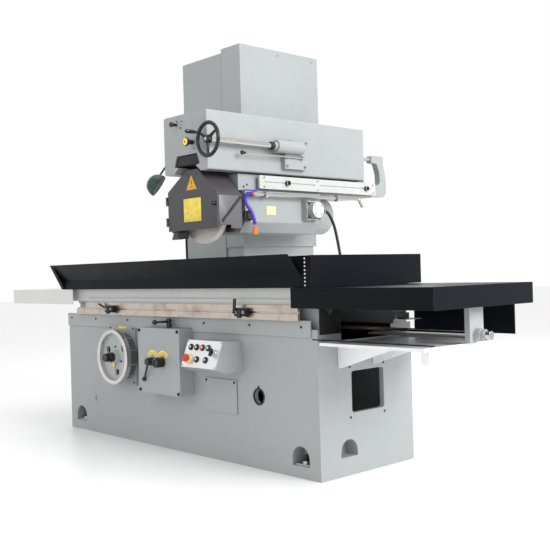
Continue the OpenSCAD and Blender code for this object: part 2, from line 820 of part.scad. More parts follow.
dove_outline = [
    [dove_x - 120, car_z0 - 1], [dove_x - 120, car_z0 + 3], [dove_x - 78.5, car_z0 + 34],
    [dove_x - 117, car_z0 + 41], [dove_x - 92, car_z0 + 100], [dove_x + 92, car_z0 + 100],
    [dove_x + 117, car_z0 + 41], [dove_x + 78.5, car_z0 + 34], [dove_x + 120, car_z0 + 3],
    [dove_x + 120, car_z0 - 1]
];
module carriage_casting() {
    color(GREY) difference() {
        along_y(round_rect(car_x0, car_x1, car_z0, car_z1, 12), car_y0, car_y1);
        along_y(dove_outline, car_y0 - 1, car_y1 + 1);
        // Cored hollow above the dovetail
        block(car_x0 + 25, car_x1 - 25, car_y0 + 25, car_y1 - 25, car_z0 + 130, car_z1 - 25);
        for (x = [-123, 30]) bar_y(x, car_y0 - 1, car_y0 + 26, x < -50 ? 1790 : 1673, 8.05);
        bar_y(arm_x, car_y1 - 26, car_y1 + 1, arm_z, arm_r + 0.5);
    }
}
// Cross-feed cylinder inside the carriage, bored for the rod of the cylinder arm
module cross_cylinder() {
    color(STEEL) difference() {
        bar_y(arm_x, 420, car_y1 - 25, arm_z, 18);
        bar_y(arm_x, 440, car_y1 - 24, arm_z, arm_r + 0.05);
    }
}
module carriage_saddle() {
    color(GREY) difference() {
        union() {
            block(gw_x + gap, car_x0, 462, 1054, car_z0, car_z1 - 62);
            for (y = gw_y, s = [-1, 1])
                block(gw_x - 20, gw_x + gap + 1, y + s * (gw_head / 2 + 11) - 10,
                    y + s * (gw_head / 2 + 11) + 10, car_z0, car_z1 - 62);
        }
        bar_z(screw_x, screw_y, car_z0 - 1, car_z1, screw_r + 0.05);
    }
}

module cross_feed_housing() {
    color(GREY) {
        // Scooped plate on the side of the carriage and the round housing in front of it
        difference() {
            union() {
                along_x(concat([[375, 1545], [552, 1545]], arc(640, 1655, 92, 215, 135, 8),
                    [[430, 1716], [375, 1620]]), car_x1, car_x1 + 34);
                bar_y(cross_x, 292, 500, cross_z, 37);
                bar_y(cross_x, 272, 292, cross_z, 24);
            }
            bar_y(cross_x, 270, 481, cross_z, 16.05);
        }
    }
}

module cross_handwheel() {
    color(BLACK) {
        bar_y(cross_x, cross_y - 10, 480, cross_z, 16);
        translate([cross_x, cross_y, cross_z]) rotate([90, 0, 0]) {
            rotate_extrude($fn = 96) translate([cross_r - 9, 0]) circle(r = 9, $fn = 24);
            difference() {
                translate([0, 0, -14]) cylinder(h = 30, r = 24);
                translate([0, 0, -15]) cylinder(h = 32, r = 16);
            }
            for (a = [30, 270]) rotate([0, 0, a])
                translate([22, -6, -4]) cube([cross_r - 34, 12, 8]);
            rotate([0, 0, 150]) translate([cross_r - 9, 0, 8]) {
                cylinder(h = 14, r = 5);
                translate([0, 0, 14]) cylinder(h = 62, r1 = 8, r2 = 11);
            }
            rotate([0, 0, 150]) translate([22, -6, -4]) cube([cross_r - 34, 12, 8]);
        }
    }
}

eng_y = 500;
eng_z = 1613;
module engagement_lever() {
    color(STEEL) {
        bar_x(car_x1 + 34.5, car_x1 + 58, eng_y, eng_z, 12);
        bar_y(car_x1 + 46, 46, eng_y - 8, eng_z, 5);
        translate([car_x1 + 46, 38, eng_z]) sphere(r = 12);
    }
}

module cone_knob(x, z, r, l) {
    bar_y(x, car_y0 - 10, car_y0 + 20, z, 8);
    translate([x, car_y0 - 8, z]) rotate([90, 0, 0]) cylinder(h = l - 12, r1 = r * 0.55, r2 = r);
    translate([x, car_y0 - l + 4.1, z]) rotate([90, 0, 0]) cylinder(h = 6, r = r);
}
module cycle_knob() { color(BLACK) cone_knob(30, 1673, 25, 56); }
module throttle_knob() { color(BLACK) cone_knob(-123, 1790, 15, 40); }

// Work lamp: a bell shade on a swivel arm at the left side of the carriage
lamp_root = [-252, -90, 1652];
lamp_elbow = [-472, -61, 1533];
lamp_back = [-442, -119, 1500];
lamp_rim = [-380.6, -120, 1471];
lamp_dir = [0, 125, 47];
module rod(a, b, r) {
    d = b - a;
    translate(a) rotate([0, acos(d[2] / norm(d)), atan2(d[1], d[0])]) cylinder(h = norm(d), r = r);
}
module work_lamp() {
    color([0.08, 0.24, 0.2]) {
        bar_x(lamp_root[0] - 12, car_x0 - 0.5, lamp_root[1], lamp_root[2], 14);
        rod(lamp_root, lamp_elbow, 6);
        translate(lamp_elbow) sphere(r = 9);
        rod(lamp_elbow, lamp_back, 6);
        translate(lamp_rim) rotate(lamp_dir) rotate_extrude()
            polygon([[0, -72], [20, -70], [38, -62], [52, -49], [62, -30], [67, -12], [68, 0],
                [65.5, 0], [64.5, -12], [59.5, -29], [50, -47], [36.5, -59.5], [19, -67], [0, -69]]);
    }
}

// ---- Wheelhead ----

module wheelhead_slide() {
    color(GREY) {
        block(-200, 128, slide_y0, slide_y1, slide_z0, slide_top);
        along_y([[dove_x - 119, slide_top - 1], [dove_x - 119, car_z0 + 2.9],
            [dove_x - 77.5, car_z0 + 33.9], [dove_x - 77.5, car_z0 + 35.4],
            [dove_x - 115, car_z0 + 42.3], [dove_x - 109, car_z0 + 56],
            [dove_x + 109, car_z0 + 56], [dove_x + 115, car_z0 + 42.3],
            [dove_x + 77.5, car_z0 + 35.4], [dove_x + 77.5, car_z0 + 33.9],
            [dove_x + 119, car_z0 + 2.9], [dove_x + 119, slide_top - 1]],
            slide_y0 + 20, slide_y1 - 20);
    }
}

head_outline = concat(
    [[head_x0, slide_z0], [head_x0, 1232]],
    [[head_x0 + 58, head_z0], [head_x1 - 58, head_z0], [head_x1, 1232], [head_x1, slide_z0]]);
module spindle_housing() {
    color(GREY) {
        difference() {
            union() {
                along_y(head_outline, head_y0, head_y1);
                bar_y(spin_x, head_y1, motor_y1, 1294, 116);
                bar_y(spin_x, guard_y + guard_d, head_y0, spin_z, 78);
            }
            bar_y(spin_x, guard_y + guard_d - 1, head_y1 - 30, spin_z, 40.05);
        }
    }
}

module wheel_guard() {
    color(DARK) difference() {
        along_y(guard_pts, guard_y, guard_y + guard_d);
        along_y(guard_inside, guard_y - 1, guard_y + guard_d - 5);
        bar_y(spin_x, guard_y + guard_d - 6, guard_y + guard_d + 1, spin_z, 60);
        // Cut-away where the wheel leaves the guard
        block(150, 200, guard_y - 1, guard_y + 100, guard_z0 - 1, guard_z0 + 24);
    }
    // Hinge knuckles, their leaves and the pins
    color(DARK) for (z = hinge_z) {
        bar_z(hinge_x, knuckle_y, z + 26, z + 50, 5);
        bar_z(hinge_x, knuckle_y, z, z + 27, 2);
        block(hinge_x - 3, -270, knuckle_y + 3, guard_y + 20, z + 26, z + 50);
    }
    // Rubber flap and plate at the lower left
    color(BLACK) block(-208, -115, guard_y + 20, guard_y + 26, 1150, guard_z0);
    color(DARK) along_y([[-275, 1150], [-206, 1150], [-206, guard_z0 + 2], [-250, guard_z0 + 2]],
        guard_y + 22, guard_y + 52);
    color(DARK) block(-269, -240, guard_y + 22, guard_y + 30, 1188, 1206);
}

module guard_door() {
    color(DARK) difference() {
        union() {
            along_y(concat([[-264, guard_z0 - 2], [-264, 1421], [-85, 1532], [20, 1532], [186, 1383],
                [186, guard_z0 + 12]], arc(172, guard_z0 + 12, 14, 0, -90, 4)),
                guard_y - door_t - gap, guard_y - gap);
            for (z = hinge_z) {
                bar_z(hinge_x, knuckle_y, z, z + 25, 5);
                block(hinge_x, -262, knuckle_y - 3, guard_y - door_t, z, z + 25);
            }
        }
        for (z = hinge_z) bar_z(hinge_x, knuckle_y, z - 1, z + 26, 2.05);
        bar_y(166, guard_y - 12, guard_y + 1, 1330, 5.05);
    }
}
module door_latch() {
    color(BLACK) {
        bar_y(166, guard_y - 24, guard_y - 6, 1330, 11);
        bar_y(166, guard_y - 7, guard_y - 1, 1330, 5);
    }
}

module spindle() {
    color(STEEL) {
        bar_y(spin_x, wheel_y - 52, 660, spin_z, 40);
        // Wheel flanges and nut
        bar_y(spin_x, wheel_y - 16, wheel_y, spin_z, 82);
        bar_y(spin_x, wheel_y + wheel_w, wheel_y + wheel_w + 14, spin_z, 82);
        translate([spin_x, wheel_y - 16, spin_z]) rotate([90, 0, 0]) cylinder(h = 22, r = 55, $fn = 6);
    }
}
module grinding_wheel() {
    color([0.86, 0.82, 0.8]) difference() {
        bar_y(spin_x, wheel_y, wheel_y + wheel_w, spin_z, wheel_r);
        bar_y(spin_x, wheel_y - 1, wheel_y + wheel_w + 1, spin_z, 40);
    }
}

term_y = 590;
term_z = 1308;
module terminal_box() {
    color(GREY) {
        difference() {
            block(head_x1, head_x1 + 42, term_y - 56, term_y + 56, term_z - 58, term_z + 58);
            block(head_x1 + 6, head_x1 + 43, term_y - 46, term_y + 46, term_z - 48, term_z + 48);
        }
        difference() {
            bar_x(head_x1 + 42, head_x1 + 84, term_y - 4, term_z, 46);
            bar_x(head_x1 + 41, head_x1 + 78, term_y - 4, term_z, 40);
        }
        // Gland at the back of the round cover
        bar_y(213, term_y + 36, term_y + 68, 1302, 14);
    }
    // Oil sight glass on the side of the housing
    color(STEEL) {
        difference() {
            bar_x(head_x1, head_x1 + 14, 104, 1266, 30);
            bar_x(head_x1 + 8, head_x1 + 15, 104, 1266, 16);
        }
        bar_x(head_x1 + 8, head_x1 + 11, 104, 1266, 16);
    }
}

module motor_cable() {
    color(BLACK) tube(cable_route, cable_r, 10);
}

rail_x = 150;
module cross_dog_rail() {
    color([0.8, 0.82, 0.82]) {
        difference() {
            block(rail_x, rail_x + 14, 191, 1193, 1424, 1500);
            block(rail_x + 8, rail_x + 15, 230, 640, 1460, 1466);
            block(rail_x + 8, rail_x + 15, 680, 1150, 1460, 1466);
        }
        block(128, rail_x, 260, 300, 1440, 1480);
        block(128, rail_x, 1060, 1100, 1440, 1480);
        // Two adjustable dogs
        for (y = [405, 1098]) {
            bar_x(rail_x + 14, rail_x + 34, y, 1463, 15);
            block(rail_x + 9, rail_x + 14, y - 8, y + 8, 1461, 1465);
        }
    }
}

pipe_x = 190;
pipe_z = 1388;
module coolant_pipe() {
    color(STEEL) {
        bar_y(pipe_x, 150, 900, pipe_z, 11);
        bar_y(pipe_x, 900, 1000, pipe_z, 8);
        // Elbow, tail fitting and the valve body in front
        translate([pipe_x, 1000, pipe_z]) sphere(r = 12);
        translate([pipe_x, 1000, pipe_z]) rotate([-145, 0, 0]) cylinder(h = 56, r = 9);
        bar_y(pipe_x, 116, 150, pipe_z, 15);
        for (y = [210, 800]) {
            difference() {
                bar_y(pipe_x, y - 12, y + 12, pipe_z, 19);
                bar_y(pipe_x, y - 13, y + 13, pipe_z, 11);
            }
            block(head_x1, pipe_x - 14, y - 10, y + 10, pipe_z - 8, pipe_z + 8);
        }
    }
}

// Ball-jointed coolant hose that ends in a flat nozzle
hose_route = [
    [190, 101, 1387], [189.5, 85, 1387], [189, 69, 1381], [188.5, 59, 1367], [188.5, 57, 1350],
    [189, 63, 1333], [190, 75, 1318], [191, 88, 1303], [192, 99, 1286], [193, 107, 1268],
    [194, 113, 1250], [195, 117, 1233], [195, 120, 1216]
];
module coolant_hose() {
    color([0.3, 0.24, 0.7]) {
        for (p = hose_route) translate(p) sphere(r = 13.5, $fn = 24);
    }
    color([0.95, 0.45, 0.15]) translate([195, 122, 1205]) {
        translate([0, 0, -12]) cylinder(h = 14, r = 10);
        translate([-5, -18, -44]) cube([10, 36, 34]);
    }
}

module cylinder_arm() {
    color(GREY) {
        along_x([[slide_y1, 1424], [1345, 1424], [1368, 1444], [1376, 1480], [1374, 1540],
            [1360, 1600], [1350, 1640], [1350, 1684], [1342, 1692], [1240, 1692], [1232, 1684],
            [1232, 1654], [1240, 1646], [1286, 1640], [1300, 1610], [1312, 1570], [1314, 1530],
            [1306, 1506], [1290, 1500], [slide_y1, 1500]], arm_x - 22, arm_x + 22);
        bar_y(arm_x, 645, 1240, arm_z, arm_r);
    }
}

bed_casting();
bed_covers();
cover_screws();
levelling_wedges();
operation_box();
control_box();
panel_plate();
drip_tray();
hydraulic_cylinder();
column_base();
column_casting();
way_cover_fixed();
column_conduit();
table_casting();
dog_rail();
splash_guard();
right_end_cover();
left_end_cover();
rod_brackets();
piston_rod();
trip_dog_left();
trip_dog_right();
elevating_handwheel();
elevating_shaft();
clutch_knob();
elevating_screw();
speed_lever();
feed_knob();
reversing_lever();
button_1();
button_2();
button_3();
button_4();
button_5();
button_6();
emergency_stop();
selector_switch();
carriage_casting();
carriage_saddle();
way_covers_moving();
cross_feed_housing();
cross_handwheel();
engagement_lever();
cycle_knob();
throttle_knob();
work_lamp();
wheelhead_slide();
spindle_housing();
wheel_guard();
guard_door();
door_latch();
terminal_box();
motor_cable();
cross_dog_rail();
coolant_pipe();
coolant_hose();
cross_cylinder();
cylinder_arm();
spindle();
grinding_wheel();
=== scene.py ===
"""Looks of the column-type surface grinder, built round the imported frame.

Everything is in metres in the frame's own axes: +X along the table, +Y back to the column, +Z up.
The helpers come first, then the materials, then one function for each part of the machine.
"""

from math import cos, pi, radians, sin

import bmesh
import bpy
from mathutils import Matrix, Vector


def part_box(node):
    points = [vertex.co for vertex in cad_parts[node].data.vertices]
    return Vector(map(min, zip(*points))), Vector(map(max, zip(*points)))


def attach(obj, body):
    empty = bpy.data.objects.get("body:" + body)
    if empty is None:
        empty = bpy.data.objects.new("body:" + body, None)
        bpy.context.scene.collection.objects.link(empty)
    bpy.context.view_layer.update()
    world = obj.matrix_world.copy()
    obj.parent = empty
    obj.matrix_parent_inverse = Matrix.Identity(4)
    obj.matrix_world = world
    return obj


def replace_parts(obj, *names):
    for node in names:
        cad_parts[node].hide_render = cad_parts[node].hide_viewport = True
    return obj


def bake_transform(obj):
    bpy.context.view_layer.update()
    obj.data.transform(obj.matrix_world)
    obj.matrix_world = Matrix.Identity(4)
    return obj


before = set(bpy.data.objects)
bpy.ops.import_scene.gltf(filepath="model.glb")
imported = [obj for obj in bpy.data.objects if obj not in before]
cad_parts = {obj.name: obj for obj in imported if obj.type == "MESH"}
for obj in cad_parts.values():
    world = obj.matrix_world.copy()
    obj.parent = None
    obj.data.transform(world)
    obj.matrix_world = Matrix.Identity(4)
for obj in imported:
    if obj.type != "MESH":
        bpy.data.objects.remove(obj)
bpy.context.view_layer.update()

MM = 0.001
X, Y, Z = Vector((1, 0, 0)), Vector((0, 1, 0)), Vector((0, 0, 1))


# ---- Mesh helpers ----

class Pen:
    """The mesh in the making: the helpers add to it, and piece() turns it into an object."""
    bm = bmesh.new()


def low(node):
    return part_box(node)[0]


def high(node):
    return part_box(node)[1]


def place(origin, axis, up=None):
    """A frame at the origin whose Z runs along the axis and whose Y lies towards up."""
    w = Vector(axis).normalized()
    hint = Vector(up) if up is not None else (Z if abs(w.z) < 0.9 else Y)
    u = hint.cross(w).normalized()
    return Matrix.Translation(Vector(origin)) @ Matrix((u, w.cross(u), w)).transposed().to_4x4()


def piece(name, material, body):
    """Turns the mesh in the making into an object that rides on a body."""
    bm, Pen.bm = Pen.bm, bmesh.new()
    bmesh.ops.recalc_face_normals(bm, faces=bm.faces)
    mesh = bpy.data.meshes.new(name)
    bm.to_mesh(mesh)
    bm.free()
    mesh.shade_smooth()
    mesh.set_sharp_from_angle(angle=radians(38))
    obj = bpy.data.objects.new(name, mesh)
    bpy.context.scene.collection.objects.link(obj)
    mesh.materials.append(M[material])
    if body:
        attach(obj, body)
    return obj


def lathe(profile, origin, axis, sides=48):
    """Adds a solid of revolution. The profile holds (radius, height) pairs in millimetres."""
    bm, to_world = Pen.bm, place(origin, axis)
    rings = []
    for r, h in ((radius * MM, height * MM) for radius, height in profile):
        if r < 1e-6:
            rings.append([bm.verts.new(to_world @ Vector((0, 0, h)))])
        else:
            angles = [2 * pi * k / sides for k in range(sides)]
            rings.append([bm.verts.new(to_world @ Vector((r * cos(a), r * sin(a), h)))
                          for a in angles])
    for a, b in zip(rings, rings[1:]):
        for k in range(sides):
            n = (k + 1) % sides
            corners = [a[k % len(a)], a[n % len(a)], b[n % len(b)], b[k % len(b)]]
            unique = list(dict.fromkeys(corners))
            if len(unique) > 2:
                bm.faces.new(unique)
    for ring in (rings[0], rings[-1]):
        if len(ring) > 1 and rings[0] is not rings[-1]:
            bm.faces.new(ring)


def ring_lathe(profile, origin, axis, sides=64):
    """Adds a closed ring: the profile is a loop in millimetres that never meets the axis."""
    bm, to_world = Pen.bm, place(origin, axis)
    rings = [[bm.verts.new(to_world @ Vector((r * cos(2 * pi * k / sides),
                                              r * sin(2 * pi * k / sides), h)))
              for r, h in ((radius * MM, height * MM) for radius, height in profile)] for k in range(sides)]
    for k in range(sides):
        a, b = rings[k], rings[(k + 1) % sides]
        for i in range(len(profile)):
            j = (i + 1) % len(profile)
            bm.faces.new([a[i], a[j], b[j], b[i]])


def soft_edge(bm, width):
    """Rounds every sharp edge of a bmesh."""
    edges = [e for e in bm.edges if len(e.link_faces) == 2 and e.calc_face_angle(0) > 0.5]
    bmesh.ops.bevel(bm, geom=edges, offset=width, segments=2, profile=0.5, affect="EDGES",
                    clamp_overlap=True)


def box(lo, hi, bevel=0.0, matrix=None):
    """Adds a box between two corners, with rounded edges."""
    part = bmesh.new()
    bmesh.ops.create_cube(part, size=1)
    size, centre = Vector(hi) - Vector(lo), (Vector(hi) + Vector(lo)) / 2
    for v in part.verts:
        v.co = Vector((v.co.x * size.x, v.co.y * size.y, v.co.z * size.z)) + centre
    if bevel:
        soft_edge(part, bevel)
    join(part, matrix)


def join(part, matrix=None):
    """Copies a bmesh into the mesh in the making."""
    if matrix is not None:
        bmesh.ops.transform(part, matrix=matrix, verts=part.verts)
    mesh = bpy.data.meshes.new("join")
    part.to_mesh(mesh)
    part.free()
    Pen.bm.from_mesh(mesh)
    bpy.data.meshes.remove(mesh)


def prism(outline, thickness, matrix, bevel=0.0):
    """Adds an outline in the matrix's own XY plane, drawn out along its Z."""
    part = bmesh.new()
    face = part.faces.new([part.verts.new((x, y, 0)) for x, y in outline])
    top = bmesh.ops.extrude_face_region(part, geom=[face])
    for v in (g for g in top["geom"] if isinstance(g, bmesh.types.BMVert)):
        v.co.z += thickness
    bmesh.ops.recalc_face_normals(part, faces=part.faces)
    if bevel:
        soft_edge(part, bevel)
    join(part, matrix)


def arc(cx, cy, r, a0, a1, n=8):
    return [(cx + r * cos(radians(a0 + (a1 - a0) * i / n)),
             cy + r * sin(radians(a0 + (a1 - a0) * i / n))) for i in range(n + 1)]


def rounded(w, h, r):
    """A rectangle about the origin with rounded corners."""
    x, y = w / 2 - r, h / 2 - r
    return arc(x, y, r, 0, 90) + arc(-x, y, r, 90, 180) + arc(-x, -y, r, 180, 270) + arc(x, -y, r, 270, 360)


def curve_through(points, steps=6):
    """Catmull-Rom points through a route."""
    pts = [Vector(p) for p in points]
    pts = [pts[0] * 2 - pts[1]] + pts + [pts[-1] * 2 - pts[-2]]
    out = []
    for i in range(1, len(pts) - 2):
        a, b, c, d = pts[i - 1:i + 3]
        for s in range(steps):
            t = s / steps
            out.append(0.5 * (2 * b + (c - a) * t + (2 * a - 5 * b + 4 * c - d) * t * t
                              + (3 * b - a - 3 * c + d) * t ** 3))
    return out + [pts[-2]]


def sweep(path, radius, sides=16):
    """Adds a round tube along a path. radius is a number or a function of the share of the path."""
    size = radius if callable(radius) else (lambda t: radius)
    bm, side, rings = Pen.bm, None, []
    for i, p in enumerate(path):
        d = (path[min(i + 1, len(path) - 1)] - path[max(i - 1, 0)]).normalized()
        if side is None:
            side = d.cross(Z if abs(d.z) < 0.8 else X).normalized()
        side = (side - d * side.dot(d)).normalized()
        other = d.cross(side)
        r = size(i / (len(path) - 1))
        rings.append([bm.verts.new(p + r * (cos(a) * side + sin(a) * other))
                      for a in (2 * pi * k / sides for k in range(sides))])
    for a, b in zip(rings, rings[1:]):
        for k in range(sides):
            bm.faces.new([a[k], a[(k + 1) % sides], b[(k + 1) % sides], b[k]])
    bm.faces.new(rings[0])
    bm.faces.new(rings[-1])


def ball(centre, r):
    part = bmesh.new()
    bmesh.ops.create_uvsphere(part, u_segments=32, v_segments=18, radius=r)
    join(part, Matrix.Translation(Vector(centre)))


def cap_screw(origin, axis, r, h):
    """Adds a socket-head cap screw of a radius and height in millimetres, with a hexagonal recess."""
    lathe([(r * 0.55, h * 0.35), (r * 0.55, h * 0.98), (r * 0.62, h), (r * 0.86, h), (r, h * 0.86), (r, 0)],
          origin, axis, sides=24)
    lathe([(0, h * 0.36), (r * 0.56, h * 0.36)], origin, axis, sides=6)


def dress(node, material, width):
    """Gives a CAD node its material and rounds its edges, without touching its mesh."""
    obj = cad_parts[node]
    obj.data.materials.clear()
    obj.data.materials.append(M[material])
    obj.data.shade_smooth()
    obj.modifiers.new("weld", "WELD").merge_threshold = 1e-5
    flat = obj.modifiers.new("flat", "DECIMATE")
    flat.decimate_type = "DISSOLVE"
    flat.angle_limit = radians(0.4)
    bevel = obj.modifiers.new("bevel", "BEVEL")
    bevel.width = width
    bevel.segments = 2
    bevel.limit_method = "ANGLE"
    bevel.angle_limit = radians(32)
    bevel.use_clamp_overlap = True
    obj.modifiers.new("normals", "WEIGHTED_NORMAL").weight = 80


# ---- Material helpers ----

class Shader:
    """A material's node tree, with short names for the few nodes that are used here."""

    def __init__(self, name, colour, rough, metal=0.0):
        self.material = bpy.data.materials.new(name)
        self.material.use_nodes = True
        self.material.diffuse_color = (*colour, 1)
        self.tree = self.material.node_tree
        self.bsdf = self.tree.nodes["Principled BSDF"]
        self.bsdf.inputs["Base Color"].default_value = (*colour, 1)
        self.bsdf.inputs["Roughness"].default_value = rough
        self.bsdf.inputs["Metallic"].default_value = metal
        self.coords = self.tree.nodes.new("ShaderNodeTexCoord").outputs["Object"]

    def new(self, kind, inputs=(), **settings):
        made = self.tree.nodes.new(kind)
        for key, value in settings.items():
            setattr(made, key, value)
        for key, value in dict(inputs).items():
            if isinstance(value, bpy.types.NodeSocket):
                self.tree.links.new(value, made.inputs[key])
            else:
                made.inputs[key].default_value = value
        return made

    def noise(self, scale, detail=3.0, stretch=None, rough=0.55):
        vector = self.coords
        if stretch:
            vector = self.new("ShaderNodeMapping", {"Vector": self.coords, "Scale": stretch}).outputs[0]
        return self.new("ShaderNodeTexNoise", {"Vector": vector, "Scale": scale, "Detail": detail,
                                               "Roughness": rough}).outputs["Fac"]

    def math(self, operation, a, b=0.0, clamp=False):
        return self.new("ShaderNodeMath", {0: a, 1: b}, operation=operation, use_clamp=clamp).outputs[0]

    def remap(self, value, lo, hi, to_lo=0.0, to_hi=1.0):
        return self.new("ShaderNodeMapRange", {"Value": value, "From Min": lo, "From Max": hi,
                                               "To Min": to_lo, "To Max": to_hi}).outputs[0]

    def mix(self, share, a, b):
        made = self.new("ShaderNodeMix", data_type="RGBA")
        for key, value in ((0, share), (6, a), (7, b)):
            if isinstance(value, bpy.types.NodeSocket):
                self.tree.links.new(value, made.inputs[key])
            else:
                made.inputs[key].default_value = value if key == 0 else (*value, 1)
        return made.outputs[2]

    def edges(self, radius):
        """1 on sharp edges within the radius, 0 on flat areas."""
        rounded_normal = self.new("ShaderNodeBevel", {"Radius": radius}, samples=4).outputs[0]
        true_normal = self.new("ShaderNodeNewGeometry").outputs["True Normal"]
        dot = self.new("ShaderNodeVectorMath", {0: rounded_normal, 1: true_normal},
                       operation="DOT_PRODUCT").outputs["Value"]
        return self.remap(dot, 0.97, 0.8)

    def about_y(self, centre):
        """The offset from a centre as X, Y and Z, and the distance from a Y axis through it."""
        offset = self.new("ShaderNodeVectorMath", {0: self.coords, 1: centre}, operation="SUBTRACT")
        parts = self.new("ShaderNodeSeparateXYZ", {0: offset.outputs[0]})
        x, z = parts.outputs["X"], parts.outputs["Z"]
        return parts, self.math("SQRT", self.math("ADD", self.math("MULTIPLY", x, x),
                                                  self.math("MULTIPLY", z, z)))

    def bump(self, height, strength, distance, below=None):
        made = self.new("ShaderNodeBump", {"Height": height, "Strength": strength, "Distance": distance})
        if below is not None:
            self.tree.links.new(below, made.inputs["Normal"])
        return made.outputs[0]

    def wire(self, key, value):
        self.tree.links.new(value, self.bsdf.inputs[key])


def shade(colour, factor):
    return tuple(min(1.0, c * factor) for c in colour)


def paint(name, colour, rough=0.42, grime=0.1, worn=(0.55, 0.56, 0.55), wear=0.5, peel=0.1,
          primer_and_shade_box=None, shine=0.5, coat=0.12):
    """Machine enamel: soft clouding, a little grime, orange peel and rubbed edges; inside an optional box, a
    near-black red that is red primer darkened with painted shade.
    """
    s = Shader(name, colour, rough)
    cloud = s.math("ADD", s.math("MULTIPLY", s.noise(1.6, 2), 0.6), s.math("MULTIPLY", s.noise(24, 4), 0.4))
    tone = s.mix(s.remap(cloud, 0.3, 0.7), shade(colour, 1 - grime), shade(colour, 1 + grime * 0.35))
    specks = s.remap(s.noise(210, 2), 0.7, 0.78)
    tone = s.mix(s.math("MULTIPLY", specks, 0.1), tone, shade(colour, 0.55))
    height = s.new("ShaderNodeSeparateXYZ", {0: s.coords}).outputs["Z"]
    dust = s.math("MULTIPLY", s.remap(height, 0.16, 0.0), s.remap(s.noise(9, 4), 0.35, 0.75))
    tone = s.mix(s.math("MULTIPLY", dust, 0.35, True), tone, shade((0.36, 0.35, 0.33), 1.0))
    rub = s.math("MULTIPLY", s.edges(0.0035), s.remap(s.noise(70, 4), 0.52, 0.66))
    tone = s.mix(s.math("MULTIPLY", rub, wear, True), tone, worn)
    # Inside the box the enamel turns near-black red: red primer, darkened as painted shade for the deep
    # channel.
    if primer_and_shade_box:
        tone = s.mix(box_mask(s, *primer_and_shade_box), tone, (0.022, 0.006, 0.006))
    s.wire("Base Color", tone)
    s.wire("Roughness", s.remap(s.noise(6, 5), 0.25, 0.75, rough - 0.06, rough + 0.1))
    fine = s.bump(s.noise(620, 2), peel, 0.0006)
    s.wire("Normal", s.bump(s.noise(5, 2), 0.1, 0.004, fine))
    s.bsdf.inputs["Specular IOR Level"].default_value = shine
    s.bsdf.inputs["Coat Weight"].default_value = coat
    s.bsdf.inputs["Coat Roughness"].default_value = 0.28
    return s.material


def box_mask(s, lo, hi):
    """1 inside a box given in the frame's own coordinates."""
    parts = s.new("ShaderNodeSeparateXYZ", {0: s.coords})
    share = None
    for axis, a, b in zip("XYZ", lo, hi):
        inside = s.math("MULTIPLY", s.math("GREATER_THAN", parts.outputs[axis], a),
                        s.math("LESS_THAN", parts.outputs[axis], b))
        share = inside if share is None else s.math("MULTIPLY", share, inside)
    return share


def steel(name, colour=(0.46, 0.45, 0.43), rough=0.28, along=None, scratch=0.25, stain=(0.42, 0.36, 0.3),
          stained=0.25):
    """Machined steel, with marks that run along one axis and a few stains."""
    s = Shader(name, colour, rough, 1.0)
    stretch = along or (1, 1, 1)
    marks = s.noise(420, 3, stretch)
    blotch = s.remap(s.noise(11, 5), 0.48, 0.75)
    s.wire("Base Color", s.mix(s.math("MULTIPLY", blotch, stained), colour, stain))
    wide = s.remap(marks, 0.3, 0.7, rough - 0.07, rough + 0.12)
    s.wire("Roughness", s.math("ADD", wide, s.math("MULTIPLY", blotch, 0.12), True))
    s.wire("Normal", s.bump(marks, scratch, 0.0003))
    return s.material


def plastic(name, colour, rough=0.35, grain=0.1, worn=None):
    """Moulded plastic or rubber, with a fine grain and handling marks."""
    s = Shader(name, colour, rough)
    tone = s.mix(s.remap(s.noise(40, 4), 0.3, 0.7), shade(colour, 0.85), shade(colour, 1.15))
    rub = s.math("MULTIPLY", s.edges(0.0015), s.remap(s.noise(160, 3), 0.45, 0.65))
    tone = s.mix(s.math("MULTIPLY", rub, 0.35, True), tone, worn or shade(colour, 2.2))
    s.wire("Base Color", tone)
    s.wire("Roughness", s.remap(s.noise(30, 4), 0.3, 0.7, rough - 0.07, rough + 0.12))
    s.wire("Normal", s.bump(s.noise(1300, 2), grain, 0.0003))
    return s.material


def grit(name):
    """Vitrified abrasive: pinkish white grains with dark pores."""
    s = Shader(name, (0.93, 0.88, 0.85), 0.92)
    grains = s.new("ShaderNodeTexVoronoi", {"Vector": s.coords, "Scale": 520.0}).outputs["Distance"]
    speck = s.noise(900, 4)
    tone = s.mix(s.remap(speck, 0.35, 0.65), (0.88, 0.82, 0.78), (1.0, 0.96, 0.93))
    tone = s.mix(s.remap(grains, 0.45, 0.62), tone, (0.72, 0.65, 0.61))
    cloud = s.remap(s.noise(14, 4), 0.35, 0.7)
    s.wire("Base Color", s.mix(s.math("MULTIPLY", cloud, 0.25), tone, (0.8, 0.74, 0.7)))
    s.wire("Normal", s.bump(grains, 0.6, 0.0012, s.bump(speck, 0.5, 0.0006)))
    return s.material


def wheel_finish(name, centre, split, inner, outer):
    """A painted disc inside a bright turned ring, split at a radius about a Y axis."""
    s = Shader(name, inner, 0.35)
    parts, radius = s.about_y(centre)
    rim = s.math("GREATER_THAN", radius, split)
    turned = s.new("ShaderNodeTexNoise", {"Scale": 900.0, "Detail": 2.0, "Vector": s.new(
        "ShaderNodeCombineXYZ", {0: radius, 1: parts.outputs["Y"]}).outputs[0]}).outputs["Fac"]
    tone = s.mix(s.remap(s.noise(24, 4), 0.3, 0.7), shade(inner, 0.9), shade(inner, 1.05))
    s.wire("Base Color", s.mix(rim, tone, s.mix(s.remap(turned, 0.3, 0.7), shade(outer, 0.9), outer)))
    s.wire("Metallic", rim)
    s.wire("Roughness", s.mix(rim, (0.42, 0.42, 0.42), (0.24, 0.24, 0.24)))
    s.wire("Normal", s.bump(turned, 0.18, 0.0003))
    return s.material


